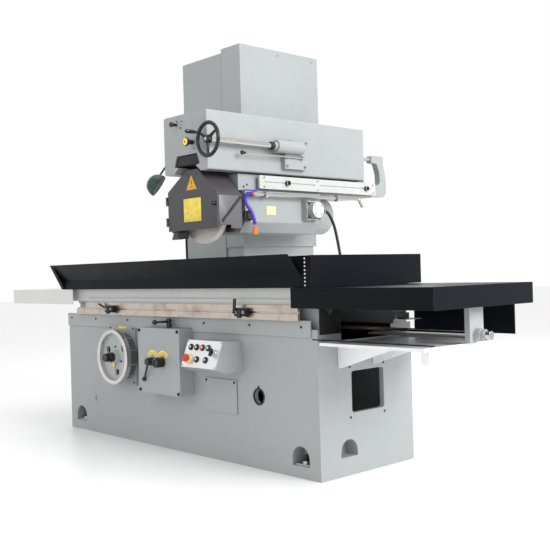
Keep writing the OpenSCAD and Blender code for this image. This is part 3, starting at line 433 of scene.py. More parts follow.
def scale_finish(name, centre, drum, divisions=100):
    """A dark drum whose outer face carries white divisions, with a longer one at each tenth."""
    s = Shader(name, (0.1, 0.1, 0.105), 0.32, 0.0)
    parts, radius = s.about_y(centre)
    angle = s.math("ARCTAN2", parts.outputs["X"], parts.outputs["Z"])
    turns = s.math("MULTIPLY", angle, divisions / (2 * pi))
    minor = s.math("LESS_THAN", s.math("FRACT", s.math("ADD", turns, 1000.06)), 0.16)
    tenths = s.math("ADD", s.math("MULTIPLY", turns, 0.1), 100.007)
    major = s.math("LESS_THAN", s.math("FRACT", tenths), 0.022)
    short = s.math("LESS_THAN", parts.outputs["Y"], 0.01)
    marks = s.math("MAXIMUM", s.math("MULTIPLY", minor, short), major)
    outer = s.math("GREATER_THAN", radius, drum - 0.0012)
    tone = s.mix(s.remap(s.noise(50, 4), 0.3, 0.7), (0.085, 0.085, 0.09), (0.13, 0.13, 0.135))
    s.wire("Base Color", s.mix(s.math("MULTIPLY", marks, outer), tone, (0.75, 0.75, 0.72)))
    s.wire("Roughness", s.remap(s.noise(18, 4), 0.3, 0.7, 0.26, 0.42))
    s.wire("Normal", s.bump(s.noise(800, 2), 0.08, 0.0003))
    return s.material


GREY_COLOUR = (0.33, 0.35, 0.356)
bed_lo, bed_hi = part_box("bed_casting")
# The bed's channel, coloured near-black red: red primer with painted shade for its dark inside.
CHANNEL_PRIMER_AND_SHADE = ((bed_lo.x - 0.01, -0.1755, 0.5595), (bed_hi.x + 0.01, 0.1755, 0.684))
wheel_centre = Vector((-0.457, -0.4, 0.486))

M = {
    "grey": paint("grey_enamel", GREY_COLOUR),
    "bed": paint("bed_enamel", GREY_COLOUR, primer_and_shade_box=CHANNEL_PRIMER_AND_SHADE),
    "tray": paint("tray_enamel", (0.84, 0.84, 0.86), rough=0.38),
    "table": paint("table_enamel", (0.5, 0.51, 0.5), rough=0.36),
    "pale": paint("pale_enamel", (0.63, 0.63, 0.62), rough=0.36),
    "black": paint("black_enamel", (0.0048, 0.0053, 0.0085), rough=0.4, grime=0.25, worn=(0.1, 0.1, 0.1),
                   shine=0.08, coat=0.01),
    "guard": paint("dark_grey_enamel", (0.068, 0.064, 0.07), rough=0.36, grime=0.12, worn=(0.26, 0.26, 0.26),
                   shine=0.35, coat=0.05),
    # A lighter copy of the guard enamel: painted light on the guard's lit side plate, and the dark seam line
    # on the bed's front.
    "lit_guard_side_and_seam": paint("lit_guard_grey_and_seam_grey", (0.12, 0.12, 0.13), rough=0.34, worn=(0.34, 0.34, 0.34)),
    "green": paint("green_enamel", (0.006, 0.036, 0.028), rough=0.32, worn=(0.2, 0.22, 0.2)),
    "reflector": paint("white_enamel", (0.8, 0.8, 0.78), rough=0.3),
    "steel_x": steel("steel_along_x", along=(0.02, 1, 1)),
    "steel_y": steel("steel_along_y", along=(1, 0.02, 1)),
    "steel": steel("steel_turned"),
    "chrome": steel("chromed_steel", (0.52, 0.51, 0.5), 0.12, scratch=0.05, stained=0.06),
    "rail": steel("ground_rail", (0.56, 0.49, 0.43), 0.24, along=(0.02, 1, 1), stain=(0.24, 0.17, 0.13),
                  stained=0.6),
    "oxide": steel("black_oxide", (0.045, 0.045, 0.05), 0.34, stain=(0.08, 0.07, 0.06)),
    "plate": steel("brushed_plate", (0.78, 0.79, 0.81), 0.36, along=(0.02, 1, 1), stained=0.05),
    "phenolic": plastic("black_phenolic", (0.006, 0.006, 0.007), 0.22),
    "rubber": plastic("black_rubber", (0.007, 0.007, 0.008), 0.55, grain=0.25),
    "red": plastic("red_plastic", (0.52, 0.02, 0.014), 0.28),
    "go": plastic("green_plastic", (0.01, 0.2, 0.09), 0.28),
    "white": plastic("white_plastic", (0.72, 0.72, 0.7), 0.34),
    "yellow": plastic("yellow_label", (0.86, 0.68, 0.09), 0.4, worn=(0.6, 0.5, 0.2)),
    "pale_yellow": plastic("pale_yellow_label", (0.9, 0.86, 0.34), 0.42, worn=(0.7, 0.66, 0.3)),
    "amber": plastic("amber_label", (0.7, 0.36, 0.012), 0.38, worn=(0.6, 0.4, 0.1)),
    "blue": plastic("blue_plastic", (0.075, 0.045, 0.42), 0.32),
    "orange": plastic("orange_plastic", (0.9, 0.16, 0.018), 0.32),
    "glass": plastic("oil_glass", (0.1, 0.075, 0.03), 0.06, grain=0.0),
    "grit": grit("abrasive_grit"),
    "blotter": plastic("paper_blotter", (0.42, 0.44, 0.5), 0.7, grain=0.3),
    "wheel": wheel_finish("handwheel_finish", wheel_centre, 0.1305, (0.4, 0.43, 0.43), (0.66, 0.64, 0.62)),
    "dial": scale_finish("dial_finish", Vector((wheel_centre.x, low("elevating_shaft").y, wheel_centre.z)),
                         0.133),
}


def dress_frame():
    """Materials and edge radii of the CAD nodes that stay."""
    plan = {
        "grey": [("operation_box", 2.5), ("control_box", 3), ("column_base", 5), ("column_casting", 5),
                 ("way_cover_fixed", 1), ("rod_brackets", 3), ("carriage_casting", 4), ("carriage_saddle", 4),
                 ("way_covers_moving", 1), ("cross_feed_housing", 3), ("wheelhead_slide", 3),
                 ("spindle_housing", 8), ("terminal_box", 2.5), ("cylinder_arm", 7),
                 ("bed_covers", 1.5)],
        "table": [("table_casting", 1.5), ("cross_dog_rail", 0.8)],
        "bed": [("bed_casting", 5)],
        "tray": [("drip_tray", 1)],
        "black": [("splash_guard", 0.8), ("right_end_cover", 1)],
        "guard": [("wheel_guard", 1), ("guard_door", 1.5)],
        "steel": [("elevating_screw", 1), ("levelling_wedges", 2), ("spindle", 1.5), ("cross_cylinder", 1)],
        "chrome": [("piston_rod", 1)],
        "steel_x": [("hydraulic_cylinder", 2)],
        "steel_y": [("coolant_pipe", 0.8)],
        "rail": [("dog_rail", 1.2)],
        "oxide": [("trip_dog_left", 2), ("trip_dog_right", 2)],
        "plate": [("panel_plate", 0.5)],
        "pale": [("left_end_cover", 1)],
        "wheel": [("elevating_handwheel", 2)],
        "dial": [("elevating_shaft", 1)],
    }
    for key, rows in plan.items():
        for node, width in rows:
            dress(node, key, width * MM)


# ---- Small fittings ----

def label(name, centre, normal, up, outline, material, body, thick=0.8 * MM):
    """A thin plate stuck on a face. The outline is in the plate's own width and height."""
    prism(outline, thick, place(centre, normal, up), bevel=0.15 * MM)
    return piece(name, material, body)


def screws():
    """Socket-head screws on the bed's front and ends, in place of the plain ones."""
    front = low("bed_casting").y
    op_lo, op_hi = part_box("operation_box")
    inset = 14 * MM
    for x in (-1.055, -0.768, -0.418, -0.067, 0.295, 0.653, 1.011):
        cap_screw((x, front - 0.008, 0.694), -Y, 5.5, 4)
    for x in (-0.598, -0.36):
        for z in (0.337, 0.646):
            cap_screw((x, front - 0.012, z), -Y, 5.5, 4)
    for x in (op_lo.x + inset, op_hi.x - inset):
        for z in (op_lo.z + inset, op_hi.z - inset):
            cap_screw((x, op_lo.y, z), -Y, 8.5, 6)
    for x in (0.3, 0.523):
        cap_screw((x, front - 0.006, 0.404), -Y, 5.5, 4)
    cap_screw((0.699, front, 0.396), -Y, 5.5, 4)
    for y in (-0.125, 0.115):
        for z in (0.265, 0.499):
            cap_screw((bed_hi.x, y, z), X, 5, 3)
    for y in (-0.134, 0.134):
        for z in (0.265, 0.499):
            cap_screw((bed_lo.x - 0.005, y, z), -X, 5.5, 4)
    obj = piece("cover_screw_heads", "oxide", "base")
    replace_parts(obj, "cover_screws")


def bed_trim():
    """Labels, the oil plug's washer, the front cable bush and the seam between the front panels."""
    front = low("bed_casting").y
    label("handwheel_label", (-0.474, front - 0.012, 0.65), -Y, Z, rounded(0.08, 0.014, 0.003), "yellow",
          "base")
    op_front = low("operation_box").y
    for name, x in (("lever_scale", -0.05), ("knob_scale", 0.042)):
        outline = arc(0, 0, 0.055, 150, 30, 14) + arc(0, 0, 0.031, 30, 150, 14)
        label(name, (x, op_front, 0.492), -Y, Z, outline, "yellow", "base")
        for a in range(40, 145, 10):
            u, v = cos(radians(a)), sin(radians(a))
            tick = Matrix.Translation((x + 0.043 * u, op_front - 0.0009, 0.492 + 0.043 * v))
            turn = Matrix.Rotation(radians(90 - a), 4, "Y")
            box((-0.0006, -0.0003, -0.006), (0.0006, 0.0003, 0.006), 0, tick @ turn)
        piece(name + "_ticks", "phenolic", "base")
    ring_lathe([(34, -4), (34, 2), (40, 3), (42, 1.5), (42, 0)], (0.699, front, 0.35), -Y)
    piece("cable_bush", "rubber", "base")
    lathe([(23.5, 0), (23.5, 1), (23, 2), (19.3, 2), (19.3, 5.8),
               (18.2, 6.6), (0, 6.6)], (-0.819, front, 0.21), -Y)
    lathe([(9.4, 6), (9.4, 13.2), (8.6, 14.3), (0, 14.3)], (-0.819, front, 0.21), -Y, 6)
    piece("oil_plug", "steel", "base")
    box((0.5395, front - 0.0012, 0.245), (0.5412, front + 0.001, 0.417), 0.0003)
    piece("front_seam", "lit_guard_side_and_seam", "base")
    # A black plate on the bed's end over the front way: a wiper, and painted shade for the dark end of the
    # front way.
    prism([(-0.318, 0.66), (-0.176, 0.66), (-0.176, 0.784), (-0.21, 0.784), (-0.25, 0.743), (-0.29, 0.784),
           (-0.318, 0.784)], 0.0025, place((bed_hi.x + 0.0005, 0, 0), X, Z), 0.0004)
    piece("end_wiper_and_shade", "rubber", "base")


def niche_bolts():
    """Foundation studs with nuts and washers in the four corner niches."""
    for x in (-0.978, 0.978):
        for y in (-0.297, 0.297):
            base = high("levelling_wedges").z
            lathe([(10.5, -30), (10.5, 26), (9, 28), (0, 28)], (x, y, base), Z, 32)
            lathe([(19, 0), (19, 3), (10.5, 3)], (x, y, base), Z, 32)
            lathe([(16.5, 3), (17.5, 5), (17.5, 15), (16.5, 17), (11, 17)], (x, y, base), Z, 6)
    piece("foundation_nuts", "oxide", "base")


def elevating_wheel():
    """Hub cap, clutch knob and pointer of the elevating handwheel."""
    c = wheel_centre
    lathe([(26.5, 0), (27.2, 2), (27.2, 9.5), (25.2, 11), (25.2, 12.5), (27.2, 14), (27.2, 29.5),
           (26.2, 31.5), (20.5, 33), (20.5, 36), (22.2, 38), (22.2, 54), (20, 57.5), (6, 57.5), (0, 56.5)],
          (c.x, -0.4205, c.z), -Y, 64)
    knob = piece("clutch_knob_turned", "phenolic", "clutch")
    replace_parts(knob, "clutch_knob")
    for k in range(24):
        a = 2 * pi * k / 24
        spot = Vector((c.x + 0.0222 * cos(a), -0.4655, c.z + 0.0222 * sin(a)))
        box((-0.0008, -0.007, -0.0009), (0.0008, 0.007, 0.0009), 0.0003, Matrix.Translation(spot)
            @ Matrix.Rotation(-a, 4, "Y"))
    piece("clutch_knob_flutes", "phenolic", "clutch")
    front = -0.3967
    label("wheel_pointer", (c.x - 0.022, front - 0.004, c.z - 0.05), -Y, Z,
          [(-0.02, 0.026), (0.02, 0.026), (0, -0.026)], "yellow", "elevating_wheel", 1.5 * MM)
    for a in (95, 215, 335):
        u, v = cos(radians(a)), sin(radians(a))
        cap_screw((c.x + 0.058 * u, -0.3963, c.z + 0.058 * v), -Y, 6, 4)
    piece("wheel_screws", "oxide", "elevating_wheel")


def lever_with_ball(start, end, r0, r1, ball_r):
    """A tapered rod with a ball on its end. The radii are in millimetres."""
    a = Vector(start)
    d = Vector(end) - a
    n = d.length / MM
    lathe([(0, 0), (r0, 0), (r0, n * 0.12), (r0 * 0.85, n * 0.18), (r1, n * 0.9), (0, n * 0.9)], a, d, 24)
    lathe([(0, n - ball_r), (ball_r * 0.5, n - ball_r * 0.93)]
          + [(ball_r * cos(radians(t)), n + ball_r * sin(radians(t)))
             for t in range(-55, 86, 12)] + [(0, n + ball_r)], a, d, 28)


def operation_controls():
    """The speed lever, the feed knob and the reversing lever."""
    x, z, face = -0.048, 0.486, low("operation_box").y
    lathe([(10, -20), (10, 0.7), (21, 0.7), (22.2, 3), (22.2, 22), (20.5, 25), (20.5, 40), (19, 44.5),
           (6, 45.7), (0, 45.7)], (x, face, z), -Y, 48)
    turn = Matrix.Rotation(radians(14), 3, "X") @ Matrix.Rotation(radians(218), 3, "Y")
    direction = turn @ Z
    root = Vector((x, face - 0.032, z))
    lever_with_ball(root, root + direction * 0.132, 7.5, 4.8, 12.5)
    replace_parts(piece("speed_lever_turned", "phenolic", "speed_control"), "speed_lever")
    x = 0.038
    flutes, depth = 12, 0.0022
    bm, rings = Pen.bm, []
    for r, h in ((0.0255, 0.0008), (0.0268, 0.003), (0.0268, 0.038), (0.0258, 0.048), (0.0235, 0.0515),
                 (0.0165, 0.0518), (0.015, 0.0505), (0.014, 0.047), (0.0, 0.0468)):
        ring = []
        for k in range(flutes * 8):
            a = 2 * pi * k / (flutes * 8)
            cut = depth * max(0.0, cos(a * flutes)) ** 2 if 0.002 < h < 0.05 and r > 0.02 else 0
            ring.append(bm.verts.new((x + (r - cut) * cos(a), face - h, z + (r - cut) * sin(a))))
        rings.append(ring)
    for a, b in zip(rings, rings[1:]):
        for k in range(len(a)):
            bm.faces.new([a[k], a[(k + 1) % len(a)], b[(k + 1) % len(b)], b[k]])
    bmesh.ops.remove_doubles(bm, verts=bm.verts, dist=1e-6)
    bm.faces.new(rings[0])
    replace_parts(piece("feed_knob_moulded", "phenolic", "feed_control"), "feed_knob")
    label("feed_knob_pointer", (x, face - 0.0518, z + 0.0195), -Y, Z, rounded(0.0022, 0.006, 0.001),
          "white", "feed_control", 0.5 * MM)
    rx, ry, rz = 0.02, -0.362, 0.7
    lathe([(15, 0), (15, 20), (12.5, 24), (12.5, 30), (15.5, 34),
               (15.5, 44), (12, 49), (0, 49)], (rx, ry, 0.665), Z, 40)
    lever_with_ball((rx, ry - 0.008, rz - 0.002), (rx, ry - 0.092, rz - 0.002), 7.5, 5.2, 14)
    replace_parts(piece("reversing_lever_turned", "phenolic", "reversing_control"),
                "reversing_lever")


PANEL_NORMAL = Vector((0, -0.9328, 0.3604))
PANEL_UP = Vector((0, 0.3604, 0.9328))
panel_origin = Vector((0.31, -0.45, 0.619))


def on_panel(s, t, out=0.0):
    """A point s to the right, t down and out above the sloped panel, in millimetres."""
    return panel_origin + X * (s * MM) - PANEL_UP * (t * MM) + PANEL_NORMAL * (out * MM)


def control_panel():
    """Buttons, emergency stop and selector, each on its own body, and what is fixed round them."""
    spots = [(42, 38), (88, 38), (134, 38), (180, 38), (112, 99), (182, 99)]
    caps = ["phenolic", "phenolic", "red", "go", "phenolic", "phenolic"]
    for i, ((s, t), key) in enumerate(zip(spots, caps), 1):
        lathe([(0, -14), (10.8, -14), (10.8, 9.5), (10.2, 11.2), (8.5, 11.8), (7.8, 10.8), (0, 10.4)],
              on_panel(s, t), PANEL_NORMAL, 40)
        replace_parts(piece(f"button_cap_{i}", key, f"push_{i}"), f"button_{i}")
        lathe([(0, 10.2), (6, 10.2), (5.6, 10.9), (0, 11)], on_panel(s, t), PANEL_NORMAL, 32)
        piece(f"button_mark_{i}", "white", f"push_{i}")
        ring_lathe([(11.4, 3), (11.4, 9.4), (12.6, 9.8), (15, 8.6), (16.4, 6), (16.4, 3)], on_panel(s, t),
                   PANEL_NORMAL, 48)
        piece(f"button_bezel_{i}", "oxide", "base")
        label(f"button_tag_{i}", on_panel(s, t - 24, 3), PANEL_NORMAL, PANEL_UP, rounded(0.02, 0.006, 0.001),
              "tray", "base", 0.5 * MM)
    s, t = 45, 99
    lathe([(0, -14), (7.8, -14), (7.8, 15.4), (14, 15.8), (18.5, 19), (20.3, 23.5), (19.6, 26.8),
           (15.8, 28.6), (8, 29.5), (0, 29.7)], on_panel(s, t), PANEL_NORMAL, 56)
    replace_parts(piece("stop_mushroom", "red", "stop_button"), "emergency_stop")
    ring_lathe([(8.6, 7), (8.6, 9), (24.5, 9), (25.2, 8.2), (25.2, 7)], on_panel(s, t), PANEL_NORMAL, 56)
    piece("stop_collar", "yellow", "base")
    s, t = 232, 62
    lathe([(0, -14), (7.8, -14), (7.8, 8.5), (14.8, 8.5), (15.2, 10), (15, 15.5), (13.5, 17.2), (0, 17.4)],
          on_panel(s, t), PANEL_NORMAL, 48)
    piece("selector_base", "chrome", "selector")
    grip = place(on_panel(s, t, 16.5), PANEL_NORMAL, PANEL_UP)
    prism(rounded(0.0085, 0.04, 0.004), 0.0152, grip, 0.0012)
    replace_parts(piece("selector_grip", "phenolic", "selector"), "selector_switch")
    ring_lathe([(8.5, 3), (8.5, 8.2), (17.2, 8.2), (18.2, 6), (18.2, 3)], on_panel(s, t), PANEL_NORMAL, 48)
    piece("selector_bezel", "chrome", "base")
    for s in (8, 266):
        for t in (8, 133):
            cap_screw(on_panel(s, t, 3), PANEL_NORMAL, 3.8, 2.2)
    piece("panel_screws", "steel", "base")


# ---- Table ----

def table_trim():
    """Rivets and the flange of the splash tray, cover lips, and screws of the rod brackets."""
    lo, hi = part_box("splash_guard")
    face = -0.368
    for k in range(8):
        spot = (-1.02 + 0.2875 * k, face, 0.921)
        lathe([(5.5, 0), (5.2, 1.2), (3.5, 2.5), (0, 3)], spot, -Y, 16)
    piece("tray_rivets", "black", "table")
    for k in range(8):
        z = 0.884 + 0.0172 * k
        lathe([(4.2, 0), (4, 1), (2.6, 1.8), (0, 2)], (1.071, -0.365, z), -Y, 14)
    piece("tray_seam_rivets", "white", "table")
    path = [Vector((lo.x, -0.4455, 1.0235)), Vector((1.046, -0.4455, 1.0235))]
    sweep(path, 0.0028, 10)
    for x0, x1 in ((hi.x - 0.0045, hi.x - 0.0045), (lo.x + 0.0045, lo.x + 0.0045)):
        sweep([Vector((x0, -0.362, 1.0165)), Vector((x1, 0.414, 1.0165))], 0.0028, 10)
    piece("tray_hem", "black", "table")
    for side, node in ((1, "right_end_cover"), (-1, "left_end_cover")):
        c_lo, c_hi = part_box(node)
        end = c_hi.x if side > 0 else c_lo.x
        near = 1.116 if side > 0 else -1.125
        z = c_lo.z + 0.004
        y = c_lo.y + 0.003
        sweep([Vector((near, y, z)), Vector((end - side * 0.004, y, z))], 0.003, 10)
    piece("cover_hems", "black", "table")
    for x0, x1 in ((-1.432, -1.4), (1.6755, 1.7075)):
        for y in (-0.033, 0.033):
            for x in (x0, x1):
                cap_screw((x, y, 0.836), Z, 7.5, 7)
    piece("bracket_screws", "oxide", "table")


def trip_dogs():
    """Clamp screws on the two trip dogs."""
    for side, centre in (("left", -0.548), ("right", 0.636)):
        for dx in (-0.027, 0.027):
            cap_screw((centre + dx, -0.384, 0.758), -Y, 8.5, 7)
        piece(f"dog_screws_{side}", "steel", f"{side}_dog")


# ---- Column ----

def column_trim():
    """Screws of the telescopic covers and the fixed cover, and the conduit with its clips."""
    route = [(-877, 520, 1480), (-884, 520, 1480), (-897, 511, 1477), (-907, 492, 1464), (-913, 476, 1438),
             (-914, 468, 1400), (-910, 464, 1300), (-904, 462, 1200), (-900, 460, 1100), (-898, 460, 1000),
             (-898, 460, 900), (-896, 462, 800), (-892, 466, 700), (-886, 470, 600), (-880, 474, 520),
             (-878, 476, 460), (-878, 476, 432)]
    sweep(curve_through([Vector(p) * MM for p in route], 5), 0.008, 16)
    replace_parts(piece("conduit_hose", "rubber", "base"), "column_conduit")
    for z in (1.2, 0.8):
        box((-0.912, 0.446, z - 0.009), (-0.86, 0.474, z + 0.009), 0.002)
    piece("conduit_clips", "steel", "base")
    hi = high("way_covers_moving")
    for y in (0.452, 0.757, 1.066):
        for z in (hi.z - 0.03, 1.812):
            cap_screw((hi.x, y, z), X, 5.5, 3)
    for y in (0.456, 1.064):
        for z in (1.132, 1.3):
            cap_screw((-0.275, y, z), X, 5.5, 3)
    piece("cover_cap_screws", "steel", "carriage")
    for y in (0.47, 1.046):
        for z in (0.46, 0.84, 1.24):
            cap_screw((-0.29, y, z), X, 5.5, 3)
    piece("fixed_cover_screws", "steel", "base")


# ---- Carriage ----

def cross_wheel():
    """The cross-feed handwheel: round rim, three tapered spokes, hub, handle and a bright shaft."""
    c = Vector((0.197, -0.201, 1.668))
    section = [(88 + 11 * cos(a), 9.8 * sin(a)) for a in
               (2 * pi * k / 16 for k in range(16))]
    ring_lathe(section, c, -Y, 96)
    lathe([(0, -13.8), (21.5, -13.8), (23.7, -12), (23.7, 6), (20.5, 13), (18, 15.8), (0, 15.8)], c, -Y, 48)
    for a in (30, 150, 270):
        turn = Matrix.Translation(c) @ Matrix.Rotation(-radians(a), 4, "Y")
        part = bmesh.new()
        bmesh.ops.create_cube(part, size=1)
        for v in part.verts:
            out = v.co.x > 0
            v.co = Vector((0.084, v.co.y * 0.009, v.co.z * 0.011) if out
                          else (0.018, v.co.y * 0.012 - 0.001, v.co.z * 0.018))
        soft_edge(part, 0.002)
        join(part, turn)
    a = radians(150)
    grip = c + Vector((0.09 * cos(a), 0, 0.09 * sin(a)))
    lathe([(4.5, 0), (4.5, 18), (7.5, 20), (9.5, 35), (10.8, 62), (10.5, 84), (7, 89.5), (0, 90)], grip, -Y,
          32)
    wheel = piece("cross_wheel_turned", "phenolic", "cross_wheel")
    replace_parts(wheel, "cross_handwheel")
    lathe([(0, 0), (16, 0), (16, 670), (0, 670)], (c.x, -0.19, c.z), Y, 40)
    piece("cross_shaft", "chrome", "cross_wheel")
    lathe([(0, 15), (9.2, 15), (9.2, 17.2), (8, 18.6), (0, 19)], c, -Y, 32)
    piece("cross_wheel_cap", "chrome", "cross_wheel")
    ring_lathe([(16.4, 0), (16.4, 22), (21.5, 22), (23.7, 19), (23.7, 2), (22.5, 0)], (c.x, 0.271, c.z), -Y,
               40)
    piece("shaft_seal", "rubber", "carriage")


def carriage_trim():
    """Knobs, the engagement lever, the bellows, screws and small plates of the carriage."""
    lo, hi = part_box("carriage_casting")
    for name, node, body, x, z, r, reach in (
            ("cycle_knob_turned", "cycle_knob", "cycle_control", 0.03, 1.673, 25, 56),
            ("throttle_knob_turned", "throttle_knob", "throttle", -0.123, 1.79, 15, 40)):
        lathe([(0, -20), (7.8, -20), (7.8, 8), (r * 0.55, 8), (r * 0.5, 16), (r * 0.62, reach * 0.55),
               (r * 0.94, reach - 9), (r, reach - 6), (r, reach - 3), (r * 0.93, reach), (0, reach)],
              (x, lo.y, z), -Y, 48)
        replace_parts(piece(name, "phenolic", body), node)
    lathe([(0, 55.8), (20.5, 55.8), (20, 57.2), (9, 58), (0, 58)], (0.03, lo.y, 1.673), -Y, 40)
    piece("cycle_knob_face", "yellow", "cycle_control")
    lathe([(0, 57.6), (6.5, 57.6), (6.2, 59), (0, 59.4)], (0.03, lo.y, 1.673), -Y, 32)
    piece("cycle_knob_dot", "red", "cycle_control")
    x, y, z = hi.x, 0.5, 1.613
    lathe([(11.8, 34.5), (11.8, 54), (10, 58), (0, 58)], (x, y, z), X, 36)
    lathe([(0, 0), (6.2, 0), (5.5, 20), (4.6, 440), (0, 440)], (x + 0.046, 0.49, z), -Y, 24)
    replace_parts(piece("engagement_rod", "chrome", "engagement"), "engagement_lever")
    lathe([(0, 428), (7, 429), (8, 440)]
          + [(12.2 * cos(radians(t)), 452 + 12.2 * sin(radians(t)))
             for t in range(-45, 86, 13)] + [(0, 464.2)], (x + 0.046, 0.49, z), -Y, 28)
    piece("engagement_ball", "phenolic", "engagement")
    for i in range(12):
        d = 0.004 * (i % 2)
        fold = [(-0.1155 + d, 0.0015 + d), (0.1155 - d, 0.0015 + d), (0.0915 - d, 0.0585 - d),
                (-0.0915 + d, 0.0585 - d)]
        prism(fold, 0.0078, place((-0.034, lo.y + 0.014 + 0.0085 * i, 1.554), -Y, Z), 0.0012)
    piece("slide_bellows", "rubber", "carriage")
    # A black strip in the gap under the carriage's side: painted shade for the dark gap between carriage and
    # slide.
    box((hi.x - 0.004, lo.y + 0.01, 1.5085), (hi.x - 0.0005, hi.y - 0.01, 1.5135), 0.0004)
    piece("gap_shade_strip", "rubber", "carriage")
    for y, z in ((0.39, 1.562), (0.39, 1.608), (0.534, 1.562), (0.545, 1.704)):
        cap_screw((0.186, y, z), X, 8, 7)
    piece("bracket_cap_screws", "steel", "carriage")
    for dx, dz in ((-0.02, 0.018), (0.024, 0.014), (0.012, -0.022)):
        cap_screw((-0.095 + dx, lo.y, 1.79 + dz), -Y, 4, 3)
    for a in (40, 160, 280):
        cap_screw((0.03 + 0.034 * cos(radians(a)), lo.y, 1.673
                   + 0.034 * sin(radians(a))), -Y, 3.5, 2.5)
    piece("knob_screws", "oxide", "carriage")


def work_lamp():
    """A bell shade with a white inside and a bulb, on its jointed arm."""
    root, elbow = Vector((-0.252, -0.09, 1.652)), Vector((-0.472, -0.061, 1.533))
    back, rim = Vector((-0.442, -0.119, 1.5)), Vector((-0.3806, -0.12, 1.471))
    tilt, pan = radians(125), radians(47)
    aim = Vector((sin(tilt) * cos(pan), sin(tilt) * sin(pan), cos(tilt)))
    lathe([(0, -72), (10, -71.7), (20, -70), (29, -66.8), (38, -62), (45.5, -56.2), (52, -49), (57.6, -40),
           (62, -30), (65, -21), (67, -12), (67.8, -1), (67.8, 0.2), (66.4, 0.4), (65.6, -1.2)], rim, aim,
          72)
    sweep([root, elbow], 0.006, 18)
    ball(elbow, 0.009)
    sweep([elbow, back], 0.006, 18)
    lathe([(0, 0), (12.5, 0), (14, 1.5), (14, 20.5), (0, 20.5)], (-0.264, -0.09, 1.652), X, 32)
    lamp = piece("lamp_shade", "green", "lamp")
    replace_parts(lamp, "work_lamp")
    lathe([(65.4, -1.2), (64.2, -12.2), (59.3, -28.8), (49.8, -46.6), (36.3, -59), (18.8, -66.4),
           (0, -68.6)], rim, aim, 72)
    caps = [f for f in Pen.bm.faces if len(f.verts) > 8]
    bmesh.ops.delete(Pen.bm, geom=caps, context="FACES")
    piece("lamp_reflector", "reflector", "lamp")
    lathe([(0, -68), (13.5, -68), (14, -48), (21, -35), (26, -22), (24.5, -11), (16, -4), (0, -1.2)], rim,
          aim, 40)
    piece("lamp_bulb", "white", "lamp")


# ---- Wheelhead ----

def guard_trim():
    """Labels, latch, screws, side plate and flap of the wheel guard. The side plate is coloured lighter as
    painted light on the lit side, and a black rib stands in for a painted reflection streak.
    """
    face = -0.1405
    label("warning_triangle", (-0.038, face, 1.446), -Y, Z,
          [(-0.048, -0.026), (0.048, -0.026), (0.003, 0.052), (-0.003, 0.052)], "amber", "door")
    box((-0.0407, face - 0.0013, 1.45), (-0.0353, face - 0.0006, 1.474), 0.0004)
    box((-0.0407, face - 0.0013, 1.433), (-0.0353, face - 0.0006, 1.44), 0.0004)
    piece("warning_mark", "phenolic", "door")
    label("door_label", (-0.035, face, 1.307), -Y, Z, rounded(0.158, 0.13, 0.003), "yellow", "door")
    for x, z in ((-0.24, 1.215), (-0.24, 1.39), (-0.075, 1.505), (0.012, 1.505), (0.165, 1.225)):
        lathe([(6.2, 0), (6, 1.6), (4, 3.4), (0, 4)], (x, face, z), -Y, 20)
    piece("door_screws", "guard", "door")
    lathe([(0, 0), (4.9, 0), (4.9, 6), (11.2, 6), (11.8, 9), (11.2, 18),
               (9, 22.8), (0, 23.6)], (0.166, -0.1355, 1.33), -Y, 40)
    box((0.1635, -0.16, 1.319), (0.1685, -0.156, 1.341), 0.001)
    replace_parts(piece("latch_knob", "oxide", "latch"), "door_latch")
    side = high("wheel_guard").x
    # The side plate is coloured lighter than the guard, as painted light on the lit side.
    prism([(-0.128, 0.019), (-0.045, 0.019), (-0.045, 0), (0.03, 0), (0.03, 0.18), (-0.128, 0.18)], 0.0025,
          place((side, 0, 1.194), X, Z), 0.0006)
    piece("guard_side_plate", "lit_guard_side_and_seam", "wheelhead")
    # A black rib along the guard's side, standing in for the dark streak of painted reflection on its glossy
    # side.
    sweep([Vector((side + 0.003, 0.026, 1.368)), Vector((side + 0.003, -0.108, 1.232))], 0.0078, 14)
    piece("guard_side_reflection_rib", "rubber", "wheelhead")
    box((-0.208, -0.118, 1.1502), (-0.115, -0.108, 1.1975), 0.002)
    box((0.08, 0.000, 1.178), (0.125, 0.03, 1.215), 0.002)
    piece("guard_flaps", "rubber", "wheelhead")


def grinding_wheel():
    """The abrasive wheel with eased corners, its paper blotters and the flange screws."""
    lo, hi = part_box("grinding_wheel")
    centre = Vector(((lo.x + hi.x) / 2, lo.y, (lo.z + hi.z) / 2))
    r, w = (hi.x - lo.x) / 2 / MM, (hi.y - lo.y) / MM
    ring_lathe([(40.5, 1), (40.5, w - 1), (150, w), (r - 1.5, w), (r, w - 1.5), (r, 1.5), (r - 1.5, 0),
                (150, 0)], centre, Y, 160)
    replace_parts(piece("abrasive_wheel", "grit", "spindle_body"), "grinding_wheel")
    for y, out in ((lo.y, -Y), (hi.y, Y)):
        ring_lathe([(80, 0), (80, 0.8), (103, 0.8), (103, 0)], (centre.x, y, centre.z), out, 96)
    piece("wheel_blotters", "blotter", "spindle_body")
    for k in range(6):
        a = radians(60 * k + 30)
        cap_screw((centre.x + 0.068 * cos(a), lo.y - 0.016, centre.z + 0.068 * sin(a)), -Y, 6.5,
                  5)
    piece("flange_screws", "oxide", "spindle_body")


